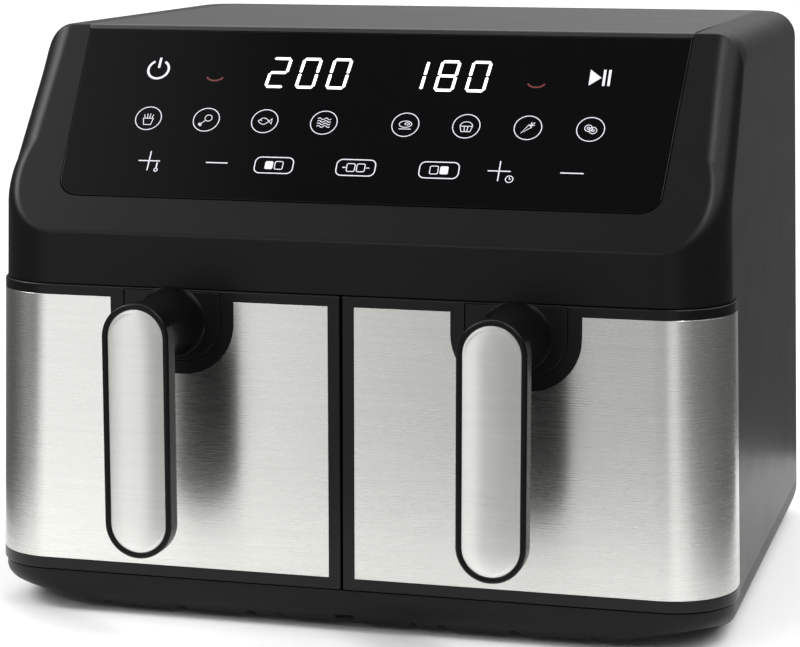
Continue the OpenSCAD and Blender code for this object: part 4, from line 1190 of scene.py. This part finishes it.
@dataclass
class Base:
    """The dark foot frame, drawn in towards the ground, with round notches along its edges."""

    form: BodyForm
    draw_in: float = 7.0
    skirt: float = 2.5
    notch: float = 3.5
    notches: tuple = (35.6, 50.5, 88.0, 128.3, 143.0)
    band: float = 4.0
    corner_growth: float = 26.0
    foot_radius: float = 11.0
    size: tuple = field(default_factory=lambda: corners("base"))

    def block(self, name: str, g: float, low: float, high: float) -> bpy.types.Object:
        """The frame's outer form moved in by g.

        Below the straight band at the top, the inset is the draw-in times the 2.2th power of how
        far down a level is, and the upright corners' radius grows as its 1.6th power.

        Args:
            name: the object's name.
            g: how far it is moved in.
            low: its lowest level.
            high: its highest level.

        Returns:
            The object.
        """
        z = np.concatenate([[low, low + 0.3, low + 0.8], np.linspace(low + 2, high - self.band, 7),
                            [high - 0.5, high - 0.15, high]])
        down = np.clip((high - self.band - z) / (high - self.band - low), 0, 1)
        lip = np.zeros(len(z))
        lip[0], lip[1], lip[-2], lip[-1] = 0.8, 0.3, 0.1, 0.45
        rows = []
        for level, d, e in zip(z, down, lip):
            i = g + self.draw_in * d ** 2.2 + e
            wider = self.corner_growth * d ** 1.6
            r, q = self.form.front_corner - g + wider, self.form.rear_corner - g + wider
            rect = Rect(-self.form.half_width + i, self.form.front + i, self.form.half_width - i,
                        self.form.rear - i, (r, r, q, q))
            rows.append(np.insert(rect.loop(16), 2, level, axis=1))
        return SHOP.loft(name, np.array(rows))

    def build(self) -> None:
        """The frame, hollow from below, with its notches, drain slot and foot bosses."""
        low, high = self.size[0][2], self.form.low
        frame_piece = self.block("base_frame", 0.0, low, high)
        hollow = self.block("hollow", self.skirt, low - 3.0, high - 3.0)
        cutters = [hollow]
        for x in (*self.notches, *(-n for n in self.notches)):
            for y in (self.form.front, self.form.rear):
                cutters.append(SHOP.stack("cutter", pill(x, low, 2 * self.notch, 2 * self.notch + 0.1),
                                          [(y - 24, 0), (y + 24, 0)], axis=1, steps=8))
        cutters.append(SHOP.box((-5, self.form.front - 2, low + 3), (5, self.form.front + 12, low + 5.4)))
        SHOP.combine(frame_piece, cutters)
        feet_low, feet_high = corners("rubber_feet")
        r = self.foot_radius
        feet = [Rect(x - r, y - r, x + r, y + r, (r,) * 4)
                for x in (feet_low[0] + r, feet_high[0] - r) for y in (feet_low[1] + r, feet_high[1] - r)]
        SHOP.combine(frame_piece, [SHOP.stack("boss", foot.grown(2), [(low + 1, 0), (high - 2, 0)], steps=8)
                                   for foot in feet], "UNION")
        SHOP.combine(frame_piece, [SHOP.stack("cutter", foot.grown(0.3), [(low - 2, 0), (low + 2, 0)], steps=8)
                                   for foot in feet])
        SHOP.smooth(frame_piece)
        SHOP.fit(frame_piece, "body", "base_pp", BASE_PP, "base")


# ------------------------------------------------------------------ drawers


class Side(Enum):
    """Which drawer; the value is the sign of its X."""

    LEFT = -1
    RIGHT = 1

    @property
    def word(self) -> str:
        """The name that starts this side's nodes."""
        return self.name.lower()

    def turn(self, piece: bpy.types.Object) -> bpy.types.Object:
        """Mirrors a piece made for the right-hand side, if this is the left, and faces it outwards.

        Args:
            piece: the object.

        Returns:
            The same object.
        """
        if self is Side.LEFT:
            piece.data.transform(Matrix.Diagonal((-1, 1, 1, 1)))
            shape = bmesh.new()
            shape.from_mesh(piece.data)
            bmesh.ops.recalc_face_normals(shape, faces=shape.faces)
            shape.to_mesh(piece.data)
            shape.free()
        return piece


@dataclass
class DrawerFront:
    """The black front, its brushed skin and the plate under the handle."""

    side: Side
    form: BodyForm
    proud: float = 1.2
    wall: float = 3.0
    skin: float = 0.8
    edge: float = 0.8
    groove: float = 0.26
    plate_gap: float = 0.34
    skin_edge: float = 0.26
    cut_width: float = 65.6
    cut_depth: float = 38.0
    cut_radius: float = 27.0
    border_top: float = 5.2
    size: tuple = field(default_factory=lambda: corners("right_drawer_shell"))
    skin_size: tuple = field(default_factory=lambda: corners("right_steel_skin"))
    plate: tuple = field(default_factory=lambda: corners("right_handle_plate"))

    def block(self, name: str, inset: float, levels: list[tuple[float, float]],
              back: float) -> bpy.types.Object:
        """The front's form in plan at each level, its outer side leaning with the body.

        Args:
            name: the object's name.
            inset: how far it is moved in.
            levels: (height, further inset) pairs.
            back: where its back is.

        Returns:
            The object.
        """
        low, high = self.size
        rows = []
        for z, e in levels:
            i = inset + e
            outer = self.form.side(z) + self.proud - i
            rect = Rect(low[0] + i, low[1] + i, outer, back - e,
                        (0.6, self.form.front_corner + self.proud - i, 0.5, 0.5))
            rows.append(np.insert(rect.loop(20), 2, z, axis=1))
        return SHOP.loft(name, np.array(rows))

    def wrap(self, name: str, out: float, inner: float, grow: float, soft: float) -> bpy.types.Object:
        """A sheet that follows the front and turns its corner, between two offsets from the body.

        Its plan is a straight stretch, an arc about the body's corner and a straight stretch along
        the side, once on the outer offset and back on the inner one.

        Args:
            name: the object's name.
            out: the outer offset from the body.
            inner: the inner offset.
            grow: how much larger the sheet is along its edges.
            soft: the rounding of its outer edges.

        Returns:
            The object, with the cut-out for the handle taken out.
        """
        low, high = self.skin_size
        r, a = self.form.front_corner, np.radians(np.linspace(-90, 0, 25))

        def path(z: float, offset: float, end: float) -> np.ndarray:
            """Plan of the sheet at one offset."""
            x1 = self.form.side(z) + offset
            arc = np.stack([x1 - r - offset + (r + offset) * np.cos(a),
                            self.form.front + r + (r + offset) * np.sin(a)], -1)
            start = [[low[0] - grow + end, self.form.front - offset]]
            return np.concatenate([start, arc, [[x1, high[1] + grow - end]]])

        rows = []
        bottom, top = low[2] - grow, high[2] + grow
        for z, e in edge_rows(bottom, top, soft) if soft else [(bottom, 0), (top, 0)]:
            outer = path(z, out - e, e + soft * 0.6)
            mid, inside = path(z, out - e - soft * 0.6, e), path(z, inner, 0)
            loop = np.concatenate([mid[:1], outer, mid[-1:], inside[::-1]])
            rows.append(np.insert(loop, 2, z, axis=1))
        sheet = SHOP.loft(name, np.array(rows))
        return SHOP.combine(sheet, [self.cut_out(grow)])

    def cut_out(self, shrink: float) -> bpy.types.Object:
        """The U-shaped piece taken from the sheet behind the handle.

        Args:
            shrink: how much smaller it is all round.

        Returns:
            The cutter.
        """
        middle = (self.plate[0][0] + self.plate[1][0]) / 2
        top, half = self.size[1][2], self.cut_width / 2
        rect = Rect(middle - half, top - self.border_top - self.cut_depth, middle + half, top + 20,
                    (self.cut_radius, self.cut_radius, 0.1, 0.1)).grown(-shrink)
        face = self.size[0][1]
        return SHOP.stack("cutter", rect, [(face - 9, 0), (face + 9, 0)], axis=1, steps=14)

    def build(self) -> None:
        """The front with its pocket, recess and seat, then the skin and the plate."""
        low, high = self.size
        word = self.side.word
        drawer = f"{word}_drawer"
        front = self.block("front", 0.0, edge_rows(low[2], high[2], self.edge), high[1])
        pocket = self.block("pocket", self.wall, [(low[2] + self.wall, 0), (high[2] - self.wall, 0)],
                            high[1] + 20)
        recess = self.wrap("recess", self.proud + 3, self.proud - self.skin - 0.05, self.groove, 0.0)
        middle, width = (self.plate[0][0] + self.plate[1][0]) / 2, self.plate[1][0] - self.plate[0][0]
        u = Rect(middle - width / 2, self.plate[0][2], middle + width / 2, high[2] - 1.0,
                 (20.0, 20.0, 1.0, 1.0))
        seat = SHOP.stack("seat", u.grown(self.plate_gap),
                          [(low[1] - 2, -0.4), (low[1] + 0.3, 0), (low[1] + 1.6, 0)], axis=1)
        SHOP.combine(front, [pocket, recess, seat])
        front.name = f"{word}_front_frame"
        SHOP.fit(SHOP.smooth(self.side.turn(front)), drawer, "drawer_abs", FRONT_ABS, f"{word}_drawer_shell")
        skin = self.wrap(f"{word}_brushed_skin", self.proud - 0.02, self.proud - self.skin, 0.0, 0.22)
        SHOP.fit(SHOP.smooth(self.side.turn(skin), self.skin_edge), drawer, "brushed_skin", SKIN_STEEL,
                 f"{word}_steel_skin")
        plate = SHOP.stack(f"{word}_handle_seat", u, edge_rows(low[1] + 0.02, low[1] + 1.5, 0.4), axis=1,
                           steps=12)
        SHOP.fit(SHOP.smooth(self.side.turn(plate)), drawer, "drawer_abs", FRONT_ABS, f"{word}_handle_plate")


@dataclass
class Handle:
    """The upright pill-shaped grip with its brushed inlay and the tapered boss that carries it."""

    side: Side
    thickness: float = 11.0
    rim: float = 2.7
    recess: float = 1.15
    front_edge: float = 1.3
    back_edge: float = 1.6
    boss_foot: float = 16.6
    boss_tip: float = 12.6
    boss_z: float = 156.0
    size: tuple = field(default_factory=lambda: corners("right_handle"))

    def build(self) -> None:
        """The grip lofted along Y with a recess in its face, joined to the boss, then the inlay.

        The boss's radius runs evenly from its foot to its tip, and flares at each end by an amount
        that falls off exponentially along it. The inlay is a crown: its rows rise as one minus the
        2.4th power of how far out they are.
        """
        low, high = self.size
        word = self.side.word
        middle, width = (low[0] + high[0]) / 2, high[0] - low[0]
        grip_top = high[2]
        shape = pill(middle, (low[2] + grip_top) / 2, width, grip_top - low[2])
        face, back = low[1], low[1] + self.thickness
        a = np.radians(np.linspace(0, 90, 7))
        levels = [(back - self.back_edge * (1 - math.sin(t)), self.back_edge * (1 - math.cos(t)))
                  for t in a[::-1]]
        levels += [(face + self.front_edge * (1 - math.sin(t)), self.front_edge * (1 - math.cos(t)))
                   for t in a]
        levels += [(face, self.rim - 0.35), (face + 0.12, self.rim - 0.1), (face + 0.35, self.rim),
                   (face + self.recess, self.rim)]
        grip = SHOP.stack("grip", shape, levels, axis=1, steps=18)
        reach = high[1] - back
        t = np.linspace(0, 1, 19) ** 1.3
        radius = self.boss_foot + (self.boss_tip - self.boss_foot) * t
        radius = radius + 1.4 * np.exp(-t * reach / 1.4) + 1.0 * np.exp(-(1 - t) * reach / 1.2)
        boss_y = high[1] - 0.02 - t * reach
        turn = np.radians(np.linspace(0, 360, 65)[:-1])
        rows = np.stack([middle + radius[:, None] * np.cos(turn), np.broadcast_to(boss_y[:, None], (19, 64)),
                         self.boss_z + radius[:, None] * np.sin(turn)], -1)
        rows = np.concatenate([rows, rows[-1:] + [0, -3.0, 0]])
        rows[..., 2] = np.minimum(rows[..., 2], grip_top)
        boss = SHOP.loft("boss", rows)
        SHOP.combine(grip, [boss], "UNION")
        grip.name = f"{word}_grip"
        SHOP.fit(SHOP.smooth(self.side.turn(grip), angle=42), f"{word}_drawer", "handle_abs", HANDLE_ABS,
                 f"{word}_handle")
        inner = shape.grown(-self.rim - 0.1)
        half = (inner.x1 - inner.x0) / 2
        crown = [(face + self.recess, 0.0), (face + 1.02, 0.0), (face + 0.9, 0.1), (face + 0.84, 0.25)]
        crown += [(face + 0.05 + 0.75 * (1 - s) ** 2.4, 0.45 + (half - 0.9) * s) for s in np.linspace(0, 1, 15)]
        inlay = SHOP.stack(f"{word}_grip_inlay", inner, crown, axis=1, steps=18)
        SHOP.fit(SHOP.smooth(self.side.turn(inlay)), f"{word}_drawer", "brushed_skin", INLAY_STEEL,
                 f"{word}_handle_inlay")


@dataclass
class Tub:
    """The deep-drawn tub with a rolled rim, and the perforated plate that lies in it."""

    side: Side
    thickness: float = 1.2
    lip: float = 2.5
    corner: float = 24.0
    fillet: float = 9.0
    size: tuple = field(default_factory=lambda: corners("right_tub"))

    def build(self) -> None:
        """The tub as one skin: up the outside, over the rim, and down the inside."""
        low, high = self.size
        word = self.side.word
        f, t = self.fillet, self.thickness
        a = np.radians(np.linspace(0, 90, 7))
        levels = [(low[2] + f * (1 - math.cos(x)), f * (1 - math.sin(x))) for x in a]
        # The rolled rim, as (depth below the top, inset) pairs: out under it, over it and down inside.
        rim = [(2.6, 0.0), (2.0, -0.3), (1.7, -self.lip + 0.3), (1.2, -self.lip), (0.5, -self.lip),
               (0.1, -self.lip + 0.4), (0.0, -self.lip + 1.0), (0.0, t - 1.0), (0.3, t - 0.3), (1.0, t)]
        levels += [(high[2] - depth, inset) for depth, inset in rim]
        g = f - t
        levels += [(low[2] + t + g * (1 - math.cos(x)), t + g * (1 - math.sin(x))) for x in a[::-1]]
        rows = []
        for z, i in levels:
            rect = Rect(low[0] + self.lip + i, low[1] + max(i, 0), high[0] - self.lip - i,
                        high[1] - self.lip - i, (max(2.0, self.corner - max(i, 0)),) * 4)
            rows.append(np.insert(rect.loop(12), 2, z, axis=1))
        tub = SHOP.loft(f"{word}_drawn_tub", np.array(rows))
        SHOP.fit(SHOP.smooth(self.side.turn(tub), angle=50), f"{word}_drawer", "nonstick_coating", NON_STICK,
                 f"{word}_tub")
        plate = SHOP.copy_of(f"{word}_crisper_plate", f"{word}_crisper_tray")
        SHOP.fit(SHOP.smooth(plate, 0.28), f"{word}_crisper", "nonstick_coating", NON_STICK,
                 f"{word}_crisper_plate")


# ------------------------------------------------------------------ the rest


@dataclass(frozen=True)
class Trim:
    """A CAD node shown with its edges rounded."""

    node: str
    body: str
    slot: str
    finish: Finish
    edge: float


def trims() -> list[Trim]:
    """The nodes whose own shape is right, and that need softer edges.

    Returns:
        One Trim for each.
    """
    made = [Trim("rear_cover", "body", "back_abs", BACK_PP, 0.35),
            Trim("rubber_feet", "body", "foot_rubber", RUBBER, 0.6),
            Trim("cord_gland", "body", "foot_rubber", RUBBER, 0.5),
            Trim("cover_screws", "body", "screw_steel", SCREW_STEEL, 0.2)]
    for side in Side:
        word = side.word
        made += [Trim(f"{word}_oven", "body", "galvanised_sheet", ZINC_SHEET, 0.15),
                 Trim(f"{word}_runners", "body", "carrier_plastic", NATURAL_PA, 0.4),
                 Trim(f"{word}_heater_guard", "body", "chromed_wire", CHROMED, 0.4),
                 Trim(f"{word}_exhaust_duct", "body", "galvanised_sheet", ZINC_SHEET, 0.2),
                 Trim(f"{word}_inner_panel", f"{word}_drawer", "drawer_abs", FRONT_ABS, 0.5),
                 Trim(f"{word}_drawer_screws", f"{word}_drawer", "screw_steel", SCREW_STEEL, 0.2),
                 Trim(f"{word}_bumpers", f"{word}_crisper", "silicone", SILICONE, 0.8)]
    return made


# CAD nodes that stay as they are, by name without their side.
PLAIN = {"display_carrier": NATURAL_PA, "displays": DISPLAY, "control_board": SOLDER_MASK,
         "power_board": SOLDER_MASK, "heat_shield": ZINC_SHEET, "centre_divider": ZINC_SHEET,
         "heater": OXIDISED, "motor": MOTOR_STEEL, "motor_bracket": ZINC_SHEET, "hot_air_fan": FAN_ALUMINIUM,
         "cooling_fan": INNER_PA, "sensor": CHROMED, "switch": INNER_PA, "plunger": PLUNGER_PA}


def dress_inside() -> None:
    """Gives the CAD nodes that stay their finish, and rounds the edges of those that need it."""
    for trim in trims():
        piece = SHOP.copy_of(trim.node, f"{trim.node}_finished")
        SHOP.fit(SHOP.smooth(piece, trim.edge), trim.body, trim.slot, trim.finish, trim.node)
    for name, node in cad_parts.items():
        kind = name.split("_", 1)[1] if name.startswith(("left_", "right_")) else name
        if kind in PLAIN:
            node.data.materials.clear()
            node.data.materials.append(PLAIN[kind].material())
            log.info("%s: finish %s", name, PLAIN[kind].name)


@dataclass
class Studio:
    """A pale floor, a soft white room and the camera.

    The screens are the room's brightness by compass direction, as (degrees from straight ahead,
    strength) pairs; straight ahead is the way that the drawers face, and the right is positive.
    """

    eye: tuple[float, float, float] = (352.4, -1335.7, 374.2)
    turn: float = -15.073
    dip: float = 9.806
    lens: float = 114.95
    screens: tuple = ((-180, 0.5), (-150, 0.2), (-110, 0.1), (-75, 0.14), (-45, 0.18), (-32, 0.8),
                      (-25, 1.1), (-19.5, 1.08), (-17.5, 0.72), (-15.5, 0.46), (-5, 0.4), (10, 0.42),
                      (18, 0.75), (26, 0.75), (36, 0.22), (50, 0.12), (110, 0.1), (150, 0.1),
                      (168, 0.16), (180, 0.5))
    overhead: tuple[float, float] = (0.25, 2.3)

    def light(self, name: str, place: tuple, aim: tuple, size: tuple, power: float) -> None:
        """One soft rectangular light.

        Args:
            name: its name.
            place: where it hangs, in metres.
            aim: the point that it faces, in metres.
            size: its width and height, in metres.
            power: its power, in watts.
        """
        lamp = bpy.data.lights.new(name, "AREA")
        lamp.shape, lamp.size, lamp.size_y, lamp.energy = "RECTANGLE", size[0], size[1], power
        made = bpy.data.objects.new(name, lamp)
        way = np.array(aim, float) - np.array(place, float)
        made.location = place
        made.rotation_euler = Vector(way).to_track_quat("-Z", "Y").to_euler()
        bpy.context.scene.collection.objects.link(made)

    def room(self) -> None:
        """The soft white room: how bright each direction is.

        Low down the brightness follows the compass direction, with soft white screens in front to
        the left and right and dim corners. Overhead it is bright, but for a gap above the front
        that keeps the glass dark. A smooth step on the height of the direction joins the two.
        """
        world = bpy.data.worlds.new("room")
        world.use_nodes = True
        tree = world.node_tree
        way = add(tree, "ShaderNodeSeparateXYZ", None,
                  {"Vector": add(tree, "ShaderNodeTexCoord").outputs["Generated"]}).outputs
        front = add(tree, "ShaderNodeMath", {"operation": "MULTIPLY", 1: -1.0}, {0: way["Y"]}).outputs[0]
        compass = add(tree, "ShaderNodeMath", {"operation": "ARCTAN2"}, {0: way["X"], 1: front}).outputs[0]
        round_way = add(tree, "ShaderNodeMapRange", {"From Min": -math.pi, "From Max": math.pi, "To Min": 0.0,
                                                     "To Max": 1.0}, {"Value": compass})
        ramp = add(tree, "ShaderNodeValToRGB", None, {"Fac": round_way.outputs["Result"]})
        stops = ramp.color_ramp.elements
        while len(stops) > 1:
            stops.remove(stops[-1])
        for degrees, strength in self.screens:
            stop = stops[0] if degrees == -180 else stops.new(degrees / 360 + 0.5)
            stop.position, stop.color = degrees / 360 + 0.5, (strength, strength, strength, 1.0)
        across = add(tree, "ShaderNodeMath", {"operation": "ABSOLUTE"}, {0: way["X"]}).outputs[0]
        beside = add(tree, "ShaderNodeMapRange",
                     {"From Min": 0.3, "From Max": 0.5, "To Min": 0.0, "To Max": 1.0},
                     {"Value": across}).outputs["Result"]
        behind = add(tree, "ShaderNodeMapRange",
                     {"From Min": -0.1, "From Max": 0.3, "To Min": 0.0, "To Max": 1.0},
                     {"Value": way["Y"]}).outputs["Result"]
        either = add(tree, "ShaderNodeMath", {"operation": "MAXIMUM"}, {0: beside, 1: behind}).outputs[0]
        above = add(tree, "ShaderNodeMapRange",
                    {"From Min": 0.0, "From Max": 1.0, "To Min": self.overhead[0],
                     "To Max": self.overhead[1]}, {"Value": either}).outputs["Result"]
        height = add(tree, "ShaderNodeMapRange",
                     {"interpolation_type": "SMOOTHSTEP", "From Min": 0.35, "From Max": 0.65},
                     {"Value": way["Z"]}).outputs["Result"]
        both = add(tree, "ShaderNodeMix", {"data_type": "FLOAT"}, {"Factor": height})
        tree.links.new(ramp.outputs["Color"], both.inputs[2])
        tree.links.new(above, both.inputs[3])
        tree.links.new(both.outputs[0], tree.nodes["Background"].inputs["Strength"])
        tree.nodes["Background"].inputs["Color"].default_value = colour("ffffff")
        bpy.context.scene.world = world

    def build(self) -> None:
        """Puts the floor, the lights and the camera in place."""
        # Only the small table is seen in reflections; the floor round it just closes the picture.
        white = Finish("matt_white_floor", "f6f6f6", 0.9, specular=0.1).material()
        for name, reach, top in (("table", 330, 0.0), ("floor", 30000, -0.05)):
            slab = SHOP.stack(name, Rect(-reach, -reach, reach, reach, (1.0,) * 4),
                              [(top - 20, 0), (top, 0)], steps=1)
            slab.data.materials.append(white)
            slab.visible_glossy = name == "table"
        self.room()
        self.light("left_strip", (-1.65, -0.35, 1.6), (-0.1, -0.1, 0.25), (0.35, 1.0), 16.0)
        self.light("right_strip", (0.95, -0.75, 1.95), (0.1, -0.1, 0.25), (0.22, 0.9), 13.0)
        self.light("front_strip", (-0.5, -2.1, 1.2), (0, -0.1, 0.2), (1.8, 0.16), 5.5)
        bpy.context.scene.view_settings.view_transform = "Standard"
        camera = bpy.data.cameras.new("camera")
        camera.lens, camera.sensor_width = self.lens, 36.0
        made = bpy.data.objects.new("camera", camera)
        made.location = tuple(c * MM for c in self.eye)
        made.rotation_euler = (math.radians(90 - self.dip), 0.0, math.radians(-self.turn))
        bpy.context.scene.collection.objects.link(made)
        bpy.context.scene.camera = made


def main() -> None:
    """Builds the fryer from the outside in, then the studio."""
    logging.basicConfig(level=logging.INFO, format="%(message)s")
    low, high = corners("housing")
    _, drawer_high = corners("right_drawer_shell")
    form = BodyForm(half_width=high[0], front=low[1], rear=high[1], low=low[2], top=high[2],
                    crease=drawer_high[2] + 27.0)
    glass, cover = TouchPanel(form), TopCover(form)
    Housing(form).build(glass, cover)
    cover.build()
    glass.build()
    Base(form).build()
    for side in Side:
        DrawerFront(side, form).build()
        Handle(side).build()
        Tub(side).build()
    dress_inside()
    Studio().build()


if __name__ == "__main__":
    main()
